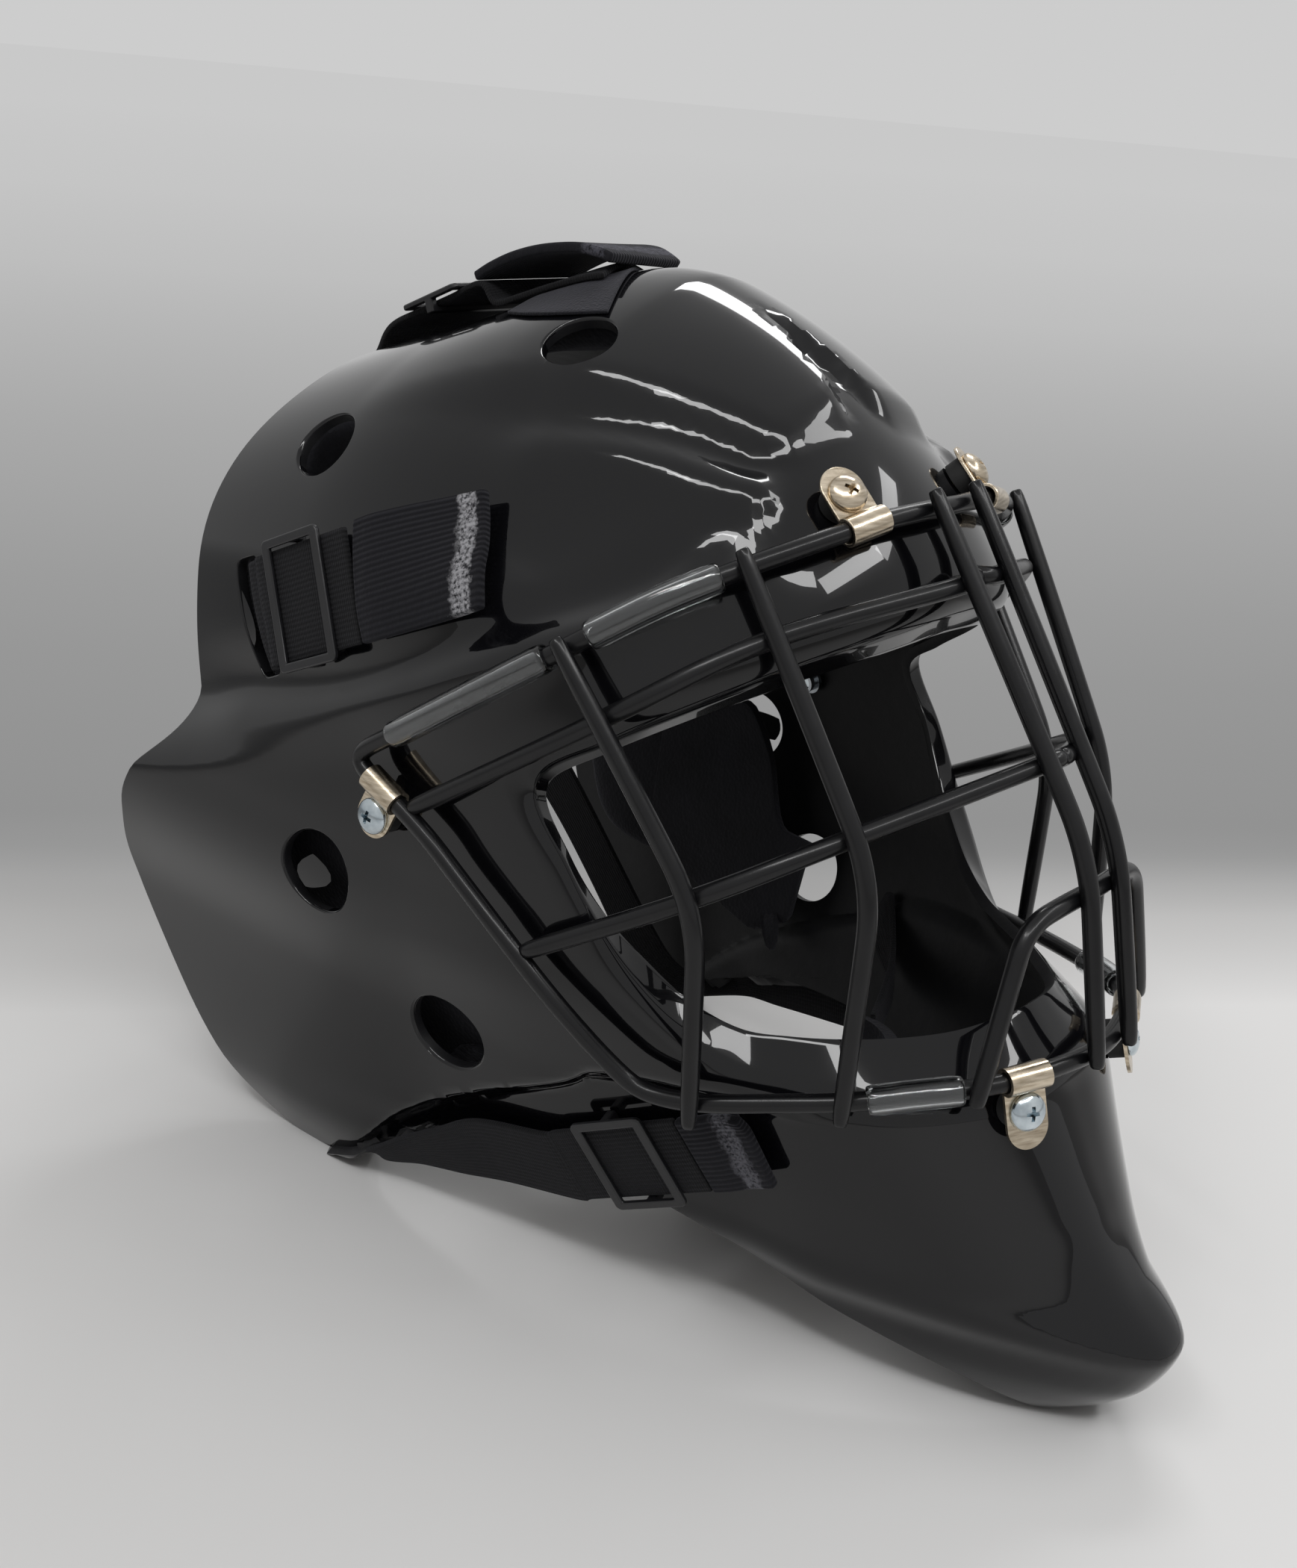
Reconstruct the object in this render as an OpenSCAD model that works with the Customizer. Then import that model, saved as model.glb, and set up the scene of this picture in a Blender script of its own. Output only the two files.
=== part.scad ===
// Hockey goalie mask: moulded shell, welded wire cage, clips, straps and back plate.
// Z up, face to -Y, wearer's left is +X. Millimetres.

/* [Mask] */
// Width across the jaw sides
mask_w = 220; // [204:1:236]
// Depth of the shell from chin to jaw rear
mask_d = 338; // [315:1:360]
// Height of the crown over the chin
mask_h = 286; // [268:1:304]
// Wall thickness of the shell
wall = 3.4; // [2.8:0.1:4]

/* [Cage] */
// Coated wire diameter
wire_d = 5.2; // [4.6:0.1:6]
// Gap between the shell and the perimeter wire
cage_gap = 4.4; // [3.6:0.1:6]
// Outside diameter of the clear sleeves
sleeve_d = 8.4; // [7.6:0.1:9.4]

/* [Clips] */
// Clip strip width
clip_w = 12.4; // [10:0.2:15]
// Clip strip thickness
clip_t = 1; // [0.8:0.1:1.4]
// Rubber spacer diameter
spacer_d = 11; // [9:0.5:12]
// Rubber spacer height
spacer_h = 4.6; // [3.8:0.1:5.4]
// Clip screw thread diameter
screw_d = 5; // [4:0.1:5.4]
// Clip screw head diameter
head_d = 10.4; // [9:0.1:11]
// Clip screw head height
head_h = 3.2; // [2.4:0.1:4]

/* [Straps] */
// Webbing width of the side straps
strap_w = 32; // [26:1:36]
// Webbing width of the jaw straps
jaw_w = 25; // [20:1:28]
// Webbing width of the top strap
top_w = 44; // [36:1:46]
// Webbing thickness
strap_t = 1.8; // [1.4:0.1:2.2]
// Thickness of the fastening tails
tail_t = 3; // [2.4:0.1:3.6]
// Slide length along the strap
slide_l = 26; // [22:1:28]
// Slide bar width
slide_bar = 3.2; // [2.6:0.2:4]

/* [Vents] */
// Front crown vent length
vent_front = 21; // [16:1:24]
// Rear crown vent length
vent_rear = 22; // [16:1:26]
// Jaw vent length
vent_jaw = 27; // [20:1:30]

/* [Padding] */
// Liner pad thickness
pad_t = 10; // [7:0.5:13]
// Back plate half width
plate_w = 62; // [54:1:66]
// Back plate thickness
plate_t = 3; // [2.4:0.2:4]

/* [Hidden] */
$fn = 40;

// The form is drawn once at its photographed size, then scaled to the sizes above.
kx = mask_w / 220;
ky = mask_d / 338;
kz = mask_h / 286;
// Rearmost point of the back plate, and the shift that centres the part over its origin.
plate_y = 163;
y_mid = (183.2 - plate_y) / 2 * ky;
// Shortest and longest wall-side clearances.
clear = 0.4;
wr = wire_d / 2;

// Plain helpers.
function mirror_x(p) = [-p[0], p[1], p[2]];
function unit(v) = v / norm(v);
function mix(a, b, t) = a + (b - a) * t;
function sstep(t) = let (u = max(0, min(1, t))) u * u * (3 - 2 * u);
function bell(t) = exp(-t * t);
function seg(K, z, i = 0) = (i >= len(K) - 2 || z < K[i + 1][0]) ? i : seg(K, z, i + 1);
function rise(K, i) = (K[i + 1][1] - K[i][1]) / (K[i + 1][0] - K[i][0]);
function slope_at(K, i) = let (n = len(K) - 1)
    i == 0 ? rise(K, 0) : i == n ? rise(K, n - 1) :
    let (a = rise(K, i - 1), b = rise(K, i)) a * b > 0 ? 2 * a * b / (a + b) : 0;
// Smooth curve through a short list of [height, value] stations.
function smooth(K, z0) =
    let (z = max(K[0][0], min(K[len(K) - 1][0], z0)),
         i = seg(K, z),
         h = K[i + 1][0] - K[i][0],
         t = (z - K[i][0]) / h,
         m0 = slope_at(K, i),
         m1 = slope_at(K, i + 1))
    (2 * t * t * t - 3 * t * t + 1) * K[i][1] + (t * t * t - 2 * t * t + t) * h * m0
    + (3 * t * t - 2 * t * t * t) * K[i + 1][1] + (t * t * t - t * t) * h * m1;
// Smooth curve through points whose first and last lie on the mirror plane.
function curve_at(P, u) =
    let (n = len(P) - 1,
         x = max(0, min(1, u)) * n,
         i = min(floor(x), n - 1),
         t = x - i,
         a = i == 0 ? mirror_x(P[1]) : P[i - 1],
         b = P[i],
         c = P[i + 1],
         d = i == n - 1 ? mirror_x(P[n - 1]) : P[i + 2])
    0.5 * (2 * b + (c - a) * t + (2 * a - 5 * b + 4 * c - d) * t * t
        + (3 * b - 3 * c + d - a) * t * t * t);
// Smooth curve through an open list of points.
function run_at(P, u) =
    let (n = len(P) - 1,
         x = max(0, min(1, u)) * n,
         i = min(floor(x), n - 1),
         t = x - i,
         b = P[i],
         c = P[i + 1],
         a = i == 0 ? 2 * b - c : P[i - 1],
         d = i == n - 1 ? 2 * c - b : P[i + 2])
    0.5 * (2 * b + (c - a) * t + (2 * a - 5 * b + 4 * c - d) * t * t
        + (3 * b - 3 * c + d - a) * t * t * t);

// The moulded form.
spring_z = 165;
crown_rise = 123.5;
crown_fall = 36.5;
lobe_up = 2;
crown_y = 40;
brow_reach = 134;
crown_half = 98;
heart = [0, 20, 90];
front_line = [[-6, -150], [0, -160], [10, -172], [20, -180], [32, -184], [44, -171], [54, -163.5],
    [66, -156.5], [80, -149], [96, -141], [108, -135.5], [135, -116], [165, -94]];
jaw_half = [[-6, 79], [0, 83], [22, 91], [77, 97], [115, 105], [130, 103.5], [165, 99.5], [300, 99.5]];
corner_power = [[-6, 1.3], [12, 1.3], [25, 1.3], [40, 1.45], [90, 1.88], [165, 2.2], [300, 1.68]];
section_y = [[-6, 90], [90, 85], [165, 40], [300, 40]];
shelf_line = [[-70, 246], [-30, 219], [-7, 205], [25, 185], [65, 168], [131, 150], [160, 143]];
recess_line = [[-105, 94], [-60, 90], [-38, 85], [-29, 78], [5, 58], [31, 40], [46, 26], [62, 8]];
function shelf_z(y) = smooth(shelf_line, y);
function form_f(x, y, z) =
    let (rear = sstep((y - 20) / 60),
         below = sstep((shelf_z(y) - z) / (12 + 14 * sstep((y - 20) / 100))),
         a0 = crown_half - 2.5 * pow(max(0, y - crown_y) / 90, 2),
         a1 = smooth(jaw_half, z) + 0.08 * (y - 50) * sstep((y + 20) / 80),
         a = mix(a0, a1, below),
         e = 10 * (1 - sstep((z - 90) / 60)) + 0.01,
         xx = (sqrt(x * x + e * e) - e) * a / (sqrt(a * a + e * e) - e),
         yc = z < spring_z ? smooth(section_y, z) : crown_y,
         yf = z < spring_z ? smooth(front_line, z) : crown_y - brow_reach,
         n = smooth(corner_power, z) + 0.4 * rear,
         dy = max(0, yc - y) / (yc - yf),
         hr = crown_rise - crown_fall * pow(max(0, y - 12) / 116, 1.2),
         tz = max(0, z - spring_z) / hr)
    pow(xx / a, n) + pow(dy, n) + pow(tz, n) - 1;
function ray_f(d, r) = form_f(heart[0] + d[0] * r, heart[1] + d[1] * r, heart[2] + d[2] * r);
function hunt(d, lo, hi, k) = k == 0 ? [lo, hi] :
    let (m = (lo + hi) / 2) ray_f(d, m) > 0 ? hunt(d, lo, m, k - 1) : hunt(d, m, hi, k - 1);
function polish(d, a, fa, b, fb, k) = k == 0 ? (a * fb - b * fa) / (fb - fa) :
    let (c = (a * fb - b * fa) / (fb - fa), fc = ray_f(d, c))
    fc > 0 ? polish(d, a, fa, c, fc, k - 1) : polish(d, c, fc, b, fb, k - 1);
// Raised lobes, temple hollows, ear shelf, brow edges and strap recess.
function relief(p) =
    let (ax = abs(p[0]),
         y = p[1],
         z = p[2],
         phi = atan2(ax, z - spring_z),
         groove = 24.5 + (y + 37) * 0.172,
         nose = -46.5 + 34 * bell(ax / 4.6) + 0.12 * pow(max(0, phi - 18), 2),
         up = sstep((z - 205) / 30),
         lobe = lobe_up * sstep((groove - phi) / 5) * sstep((y - nose) / 8)
             * (1 - sstep((y - 25) / 60)) * up,
         cut = -1.6 * bell((phi - groove) / 2.4) * sstep((y + 46) / 8) * (1 - sstep((y - 10) / 45)) * up,
         ridge = 1.4 * bell((phi - groove - 4.5) / 2.6) * sstep((y + 52) / 8)
             * (1 - sstep((y + 4) / 40)) * up,
         hollow = -6.5 * bell((phi - 50) / 12) * bell((y + 2) / 34) * sstep((y + 47) / 14),
         zs = shelf_z(y),
         shelf = (2.4 * bell((z - zs + 9) / 8) - 1.6 * bell((z - zs - 6) / 7))
             * (1 - sstep((y - 95) / 40)) * sstep((y + 52) / 20),
         brow = 1.6 * bell((phi - 31 - 0.6 * max(0, -43 - y)) / 5) * bell((y + 46) / 9)
             * (1 - sstep((z - 246) / 8)),
         zr = smooth(recess_line, y),
         recess = -4.2 * sstep((zr - z) / 7) * sstep((y + 104) / 26) * (1 - sstep((y - 48) / 14)))
    lobe + cut + ridge + hollow + shelf + brow + recess;
function form_at(p) =
    let (d = unit(p - heart),
         br = hunt(d, 40, 330, 6),
         r = polish(d, br[0], ray_f(d, br[0]), br[1], ray_f(d, br[1]), 2),
         q = heart + d * r)
    q + d * relief(q);
// From the drawn size to the sizes asked for.
function real(p) = [p[0] * kx, p[1] * ky + y_mid, p[2] * kz];
function on(p) = real(form_at(p));
function facing(p) =
    let (d = unit(p - heart),
         s = unit(cross(d, abs(d[1]) > 0.9 ? [0, 0, 1] : [0, 1, 0])),
         c = cross(s, d),
         h = 2,
         q = form_at(p),
         n = unit(cross(on(q + s * h) - on(q - s * h), on(q + c * h) - on(q - c * h))))
    n * real(d * 1000 + heart) - n * real(heart) > 0 ? n : -n;
function off(p, h) = on(p) + facing(p) * h;

// Point on the form that keeps some coordinates of the point asked for.
function held(v, m) = [v[0] * m[0], v[1] * m[1], v[2] * m[2]];
function aim(p, m, k = 3, g = undef) =
    let (a = is_undef(g) ? p : g)
    k == 0 ? a : aim(p, m, k - 1, a + held(p - form_at(a), m));
flank = [0, 1, 1];
above = [1, 1, 0];

// Surface sheets.
function sheet_normal(G, i, j, closed) =
    let (n = len(G),
         m = len(G[0]),
         ia = closed ? (i + n - 1) % n : max(0, i - 1),
         ib = closed ? (i + 1) % n : min(n - 1, i + 1),
         ja = max(0, j - 1),
         jb = min(m - 1, j + 1))
    unit(cross(G[ib][j] - G[ia][j], G[i][jb] - G[i][ja]));
// Solid between two offsets of a grid of points.
module sheet(G, a, b, closed = false) {
    n = len(G);
    m = len(G[0]);
    N = [for (i = [0:n - 1]) [for (j = [0:m - 1]) sheet_normal(G, i, j, closed)]];
    low = [for (i = [0:n - 1]) for (j = [0:m - 1]) G[i][j] + N[i][j] * a];
    high = [for (i = [0:n - 1]) for (j = [0:m - 1]) G[i][j] + N[i][j] * b];
    k = n * m;
    last = closed ? n - 1 : n - 2;
    faces = concat(
        [for (i = [0:last]) for (j = [0:m - 2]) let (p = i * m + j, q = (i + 1) % n * m + j)
            each [[k + p, k + q, k + q + 1], [k + p, k + q + 1, k + p + 1],
                [p, q + 1, q], [p, p + 1, q + 1]]],
        [for (i = [0:last]) let (p = i * m, q = (i + 1) % n * m)
            each [[p, q, k + q], [p, k + q, k + p]]],
        [for (i = [0:last]) let (p = i * m + m - 1, q = (i + 1) % n * m + m - 1)
            each [[p, k + q, q], [p, k + p, k + q]]],
        closed ? [] : [for (j = [0:m - 2]) each [[j, k + j, k + j + 1], [j, k + j + 1, j + 1]]],
        closed ? [] : [for (j = [0:m - 2]) let (p = (n - 1) * m + j)
            each [[p, k + p + 1, k + p], [p, p + 1, k + p + 1]]]);
    polyhedron(points = concat(low, high), faces = [for (f = faces) [f[0], f[2], f[1]]]);
}

// The shell.
// Lip of the face opening, edge where the form turns in to it, and outer rim, wearer's right half.
lip = [[0, -76, 206], [-20, -73.5, 204], [-42, -64, 198], [-62, -49, 188], [-77, -31, 175.5],
    [-85, -17, 163], [-84.5, -27, 146], [-80, -37.5, 131], [-75, -47.5, 121], [-69, -59, 111.5],
    [-62, -72, 106], [-54.5, -83.5, 106], [-46, -95, 107.2], [-36, -105.5, 108.7],
    [-26, -114.5, 111], [-16, -121, 114], [-7, -124, 115.6], [0, -124.5, 116]];
edge = [[0, -79, 212], [-21, -77, 210], [-44, -70, 205], [-66, -55, 194], [-82, -35, 180],
    [-91, -17, 165], [-89, -31, 144], [-86, -43, 127], [-83, -54, 114], [-79, -66, 103.5],
    [-73, -79, 95], [-65, -91, 92], [-55, -104, 93], [-44, -116, 95],
    [-32, -127.5, 98], [-20, -137, 101], [-9, -142.5, 103.3], [0, -144, 104]];
rim = [[0, 128, 253], [-30, 126.5, 250.5], [-58, 123, 241], [-80, 124.5, 216.5], [-94, 128, 187],
    [-98, 130, 158], [-104, 131, 132], [-110, 146, 107], [-108, 155, 80], [-101, 135, 42],
    [-93, 107, 6.5], [-87, 82, -2.6], [-85, 46, 16], [-82, 0, 31],
    [-74, -54, 35], [-57, -97, 23], [-30, -138, 11], [0, -161, -2.4]];
loop_n = 51;
rows = 16;
turn = 0.06;
function shell_column(u) =
    let (l = curve_at(lip, u),
         e = curve_at(edge, u),
         r = curve_at(rim, u),
         k = form_at(e),
         b = form_at(mix(e, r, turn)),
         a = mix(l, k, 0.55))
    concat([real(l), real(a)],
        [for (t = [0.35, 0.7]) real(a * pow(1 - t, 2) + k * 2 * t * (1 - t) + b * t * t)],
        [for (j = [0:rows]) on(mix(e, r, mix(turn, 1, j / rows)))]);
half_grid = [for (i = [0:loop_n]) shell_column(i / loop_n)];
function whole_grid(H) = concat(H, [for (i = [loop_n - 1:-1:1]) [for (p = H[i]) mirror_x(p)]]);

// Local frame on the form: X along the given direction, Z out of the shell.
module on_form(p, along, lift = 0) {
    o = on(p);
    n = facing(p);
    x = unit(along - n * (along * n));
    y = cross(n, x);
    c = o + n * lift;
    multmatrix([[x[0], y[0], n[0], c[0]], [x[1], y[1], n[1], c[1]], [x[2], y[2], n[2], c[2]]])
        children();
}
// The same frame on the wearer's right or left side.
module side(s) {
    if (s < 0) children();
    else mirror([1, 0, 0]) children();
}

vent_spots = [[[-45.4, 20, 269.5], [0.35, -0.9, 0.25], vent_front, 0.9],
    [[-79.6, 85.5, 233.6], [0.2, -0.9, 0.35], vent_rear, 0.92],
    [[-105, 56, 116], [0, -1, 0.2], vent_jaw, 0.94],
    [[-91, 13, 75], [0, -1, 0.3], vent_jaw, 0.92]];
side_slot = [-95, 95.5, 181];
strap_run = [0, -0.905, 0.425];
jaw_run = [0.14, -0.86, 0.49];

module shell_cuts() {
    for (s = [-1, 1]) side(s) {
        for (v = vent_spots) on_form(v[0], v[1], -wall - 12)
            scale([1, v[3], 1]) cylinder(d = v[2], h = wall + 24, $fn = 36);
        on_form(side_slot, strap_run, -wall - 6)
            linear_extrude(wall + 12) offset(2) square([8, strap_w - 1], center = true);
        for (c = clip_spots) on_form(c[0], [1, 0, 0], -wall - 6)
            cylinder(d = screw_d + 0.6, h = wall + 12, $fn = 24);
    }
}
module shell() color([0.03, 0.03, 0.035]) difference() {
    sheet(whole_grid(half_grid), 0, wall, closed = true);
    shell_cuts();
    translate([0, 0, -50]) cube([600, 800, 100], center = true);
}

// The cage.
// Perimeter wire on the form, wearer's right half, from the brow down to the chin.
ring_spots = [[0, -73.5, 240.5], [-20, -70.4, 239.3], [-38.5, -66, 236], [-50, -61.5, 232.6],
    [-62.5, -54.4, 227.6], [-76, -43, 219.3], [-88, -29.5, 208], [-95, -18, 199], [-100.5, -2.6, 187.5],
    [-104.3, 23.4, 169], [-105.6, 33.4, 161.8], [-105.8, 33.8, 157.2], [-105.5, 24.7, 153],
    [-105, 7.8, 145.6], [-104, -1, 139.5], [-102, -17.7, 127.6], [-98.3, -32.4, 114.7],
    [-93.6, -43, 104], [-87.8, -53.2, 93.5], [-84.5, -61, 89.8], [-80, -74.4, 91.5],
    [-70, -91.6, 95.9], [-60, -107.4, 99.9], [-50, -119.7, 104], [-40, -130.4, 107],
    [-28, -138, 109], [-12, -143, 110], [0, -144.5, 110]];
ring_n = len(ring_spots) - 1;
// The drawn loop stands off the form by the gap and half the wire as first measured.
function ring_at(k) = let (p = curve_at(ring_spots, k / ring_n))
    real(p) + facing(p) * (cage_gap + wr - 7);
function ring_out(k) = facing(curve_at(ring_spots, k / ring_n));
ring_half = [for (i = [0:54]) ring_at(i / 2)];
ring = concat(ring_half, [for (i = [53:-1:1]) mirror_x(ring_half[i])]);

function tangent(P, i, closed) =
    let (n = len(P))
    unit(P[closed ? (i + 1) % n : min(n - 1, i + 1)] - P[closed ? (i + n - 1) % n : max(0, i - 1)]);
function carry(v, t) = unit(v - t * (v * t));
function frames(P, closed, i = 0, prev = [0.31, 0.22, 0.93], acc = []) =
    i == len(P) ? acc :
    let (u = carry(prev, tangent(P, i, closed))) frames(P, closed, i + 1, u, concat(acc, [u]));
// Round wire along points; open runs get rounded ends.
module wire(P, d, closed = false, sides = 10) {
    Q = closed ? P : concat([P[0]], P, [P[len(P) - 1]]);
    T0 = tangent(P, 0, false);
    T1 = tangent(P, len(P) - 1, false);
    U0 = frames(P, closed);
    U = closed ? U0 : concat([U0[0]], U0, [U0[len(U0) - 1]]);
    n = len(Q);
    r = d / 2;
    pts = [for (i = [0:n - 1])
        let (cap = !closed && (i == 0 || i == n - 1),
             t = closed ? tangent(P, i, true) : i <= 1 ? T0 : i >= n - 2 ? T1 : tangent(P, i - 1, false),
             u = U[i],
             w = cross(t, u),
             c = closed ? Q[i] : i == 0 ? Q[0] - T0 * r * 0.5 : i == n - 1 ? Q[i] + T1 * r * 0.5 : Q[i],
             q = cap ? r * 0.62 : r)
        for (k = [0:sides - 1]) c + (u * cos(360 * k / sides) + w * sin(360 * k / sides)) * q];
    last = closed ? n - 1 : n - 2;
    faces = concat(
        [for (i = [0:last]) for (k = [0:sides - 1])
            let (a = i * sides + k,
                 b = i * sides + (k + 1) % sides,
                 c = (i + 1) % n * sides + k,
                 e = (i + 1) % n * sides + (k + 1) % sides)
            each [[a, c, e], [a, e, b]]],
        closed ? [] : [[for (k = [0:sides - 1]) k]],
        closed ? [] : [[for (k = [sides - 1:-1:0]) (n - 1) * sides + k]]);
    polyhedron(points = pts, faces = faces);
}
// Straight runs joined by round bends.
function bend(P, r, steps = 6) = concat([P[0]],
    [for (i = [1:len(P) - 2])
        let (a = unit(P[i - 1] - P[i]),
             b = unit(P[i + 1] - P[i]),
             l = min(r, norm(P[i - 1] - P[i]) * 0.48, norm(P[i + 1] - P[i]) * 0.48))
        for (k = [0:steps]) let (t = k / steps)
            P[i] + a * l * pow(1 - t, 2) + b * l * t * t],
    [P[len(P) - 1]]);
function both(P) = concat(P, [for (i = [len(P) - 2:-1:0]) mirror_x(P[i])]);
// Wires that cross touch with a small weld overlap.
layer = wire_d * 0.92;
butt = wire_d * 0.68;
function out_at(p) = unit([p[0] * 0.9, (p[1] - y_mid) * 0.7 - 70, 0]);
// An upright bar: welded outside the loop at both ends, with one bend between.
function upright_line(top, knee, foot) =
    let (a = ring_at(top) + ring_out(top) * layer,
         b = ring_at(foot) + ring_out(foot) * layer,
         k = real(knee))
    [a + unit(a - k) * 2, k, b + unit(b - k) * 2];
outer_line = upright_line(6.3, [-87, -73, 149], 19.95);
inner_line = upright_line(3.85, [-59.2, -104.5, 161], 21.9);
center_line = upright_line(0.44, [-7.8, -134.5, 164], 26.25);
function at_height(P, z) =
    let (a = z > P[1][2] ? P[0] : P[1], b = z > P[1][2] ? P[1] : P[2], t = (z - a[2]) / (b[2] - a[2]))
    a + (b - a) * t;
function behind(P, z, more = 0) = let (p = at_height(P, z * kz)) p - out_at(p) * (layer + more);
// Cross wires run behind the uprights and butt against the loop.
function butted(k, toward) = let (c = ring_at(k)) c + unit(toward - c) * butt;
brow_b = behind(outer_line, 189);
brow_line = [butted(12.5, brow_b), brow_b, behind(inner_line, 213), behind(center_line, 223.5),
    real([0, -82.5, 224.5])];
mid_b = behind(outer_line, 149.5, 1.2);
mid_line = [butted(15.45, mid_b), mid_b, behind(inner_line, 168.5, 1), behind(center_line, 183),
    real([0, -117.5, 184])];
hoop_foot = ring_at(23.98) + ring_out(23.98) * layer;
hoop_top = behind(center_line, 152);
hoop_line = [hoop_foot + [-0.6, -0.3, -2], real([-28.4, -131, 150]), [-10 * kx, hoop_top[1], hoop_top[2]],
    [0, hoop_top[1] - 0.5, hoop_top[2]]];
function through(P, n) = [for (i = [0:n]) run_at(P, i / n)];
function mirrored_run(H) = concat(H, [for (i = [len(H) - 2:-1:0]) mirror_x(H[i])]);

module dark_wire() color([0.05, 0.05, 0.055]) children();
module cage_perimeter() dark_wire() wire(ring, wire_d, closed = true);
module brow_wire() dark_wire() wire(mirrored_run(through(brow_line, 16)), wire_d);
module mid_wire() dark_wire() wire(mirrored_run(through(mid_line, 16)), wire_d);
module mouth_hoop() dark_wire() wire(bend(both(hoop_line), 13), wire_d);
module upright(P, s) dark_wire() side(s) wire(bend(P, 16), wire_d);
module bar_outer_r() upright(outer_line, -1);
module bar_outer_l() upright(outer_line, 1);
module bar_inner_r() upright(inner_line, -1);
module bar_inner_l() upright(inner_line, 1);
module bar_center_r() upright(center_line, -1);
module bar_center_l() upright(center_line, 1);

// Clear sleeves.
// Start and end of each sleeve along the perimeter wire.
sleeve_side = [6.66, 9];
sleeve_brow = [4.2, 5.95];
sleeve_chin = [22.25, 23.85];
module tube(P, od, id, sides = 12) {
    U = frames(P, false);
    n = len(P);
    m = n * sides;
    pts = [for (d = [od, id]) for (i = [0:n - 1]) let (t = tangent(P, i, false), u = U[i], w = cross(t, u))
        for (k = [0:sides - 1]) P[i] + (u * cos(360 * k / sides) + w * sin(360 * k / sides)) * d / 2];
    walls = [for (i = [0:n - 2]) for (k = [0:sides - 1])
        let (a = i * sides + k, b = i * sides + (k + 1) % sides, c = a + sides, e = b + sides)
        each [[a, c, e], [a, e, b], [a + m, e + m, c + m], [a + m, b + m, e + m]]];
    ends = [for (k = [0:sides - 1])
        let (a = k, b = (k + 1) % sides, c = a + m - sides, e = b + m - sides)
        each [[a, b, b + m], [a, b + m, a + m], [c, e + m, e], [c, c + m, e + m]]];
    polyhedron(points = pts, faces = concat(walls, ends));
}
module sleeve(span, s) color([0.75, 0.78, 0.8, 0.5]) side(s)
    tube([for (i = [0:6]) ring_at(mix(span[0], span[1], i / 6))],
        sleeve_d, wire_d + 0.5);
module sleeve_side_r() sleeve(sleeve_side, -1);
module sleeve_side_l() sleeve(sleeve_side, 1);
module sleeve_brow_r() sleeve(sleeve_brow, -1);
module sleeve_brow_l() sleeve(sleeve_brow, 1);
module sleeve_chin_r() sleeve(sleeve_chin, -1);
module sleeve_chin_l() sleeve(sleeve_chin, 1);

// Clips, screws, spacers, nuts.
// Screw spot on the form, place of its clip along the perimeter wire, and how far the tab goes on.
clip_spots = [[[-27.6, -57.7, 239.8], 1.5, 2], [[-99.9, 28.9, 143.2], 12.02, 0.2],
    [[-25.4, -135.9, 98.2], 25.02, 4]];
// Frame at a screw: X along the wire, Y towards the wire, Z out of the shell.
function clip_frame(c) =
    let (w = ring_at(c[1]),
         t = unit(ring_at(c[1] + 0.3) - ring_at(c[1] - 0.3)),
         o = on(c[0]),
         n = facing(c[0]),
         v = w - o,
         y0 = unit(v - t * (v * t) - n * (v * n)),
         z = unit(n - y0 * (n * y0)),
         x = cross(y0, z))
    [o, x, y0, z, [v * x, v * y0, v * z]];
module at_clip(c) {
    f = clip_frame(c);
    o = f[0];
    x = f[1];
    y = f[2];
    z = f[3];
    multmatrix([[x[0], y[0], z[0], o[0]], [x[1], y[1], z[1], o[1]], [x[2], y[2], z[2], o[2]]])
        children();
}
seat = 0.3;
tab_z = seat + spacer_h;
module clip(c) {
    f = clip_frame(c);
    wy = f[4][1];
    wz = f[4][2];
    ri = wr + 0.2;
    ro = ri + clip_t;
    at_clip(c) {
        difference() {
            union() {
                translate([0, -c[2], tab_z]) cylinder(d = clip_w, h = clip_t);
                rotate([90, 0, 90]) translate([0, 0, -clip_w / 2]) linear_extrude(clip_w) difference() {
                    union() {
                        translate([wy, wz]) difference() {
                            circle(ro, $fn = 36);
                            polygon([[0, 0], [-3 * ro, -1 * ro], [-3 * ro, -3 * ro], [ro * 0.2, -3 * ro]]);
                            if (tab_z < wz) translate([-3 * ro, -3 * ro])
                                square([3 * ro, 3 * ro + tab_z - wz]);
                        }
                        translate([-c[2], tab_z]) square([wy - ri + 0.1 + c[2], clip_t]);
                        translate([wy - ri - 0.9, tab_z])
                            square([1, max(clip_t, wz - tab_z)]);
                    }
                    translate([wy, wz]) circle(ri, $fn = 36);
                }
            }
            cylinder(d = screw_d + 0.4, h = 30, $fn = 28);
        }
    }
}
module metal() color([0.72, 0.7, 0.66]) children();
module clip_brow_r() metal() side(-1) clip(clip_spots[0]);
module clip_brow_l() metal() side(1) clip(clip_spots[0]);
module clip_side_r() metal() side(-1) clip(clip_spots[1]);
module clip_side_l() metal() side(1) clip(clip_spots[1]);
module clip_chin_r() metal() side(-1) clip(clip_spots[2]);
module clip_chin_l() metal() side(1) clip(clip_spots[2]);
nut_z = -wall - 1.3;
module screw() {
    top = tab_z + clip_t;
    difference() {
        union() {
            translate([0, 0, top]) intersection() {
                cylinder(d = head_d, h = head_h);
                translate([0, 0, head_h - head_d * 0.72]) sphere(d = head_d * 1.44, $fn = 60);
            }
            translate([0, 0, nut_z - 4.5]) cylinder(d = screw_d, h = top - nut_z + 4.6, $fn = 28);
        }
        translate([0, 0, top + head_h - 1.3]) for (a = [0, 90]) rotate(a)
            translate([-head_d * 0.22, -0.65, 0]) cube([head_d * 0.44, 1.3, 4]);
    }
}
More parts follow.
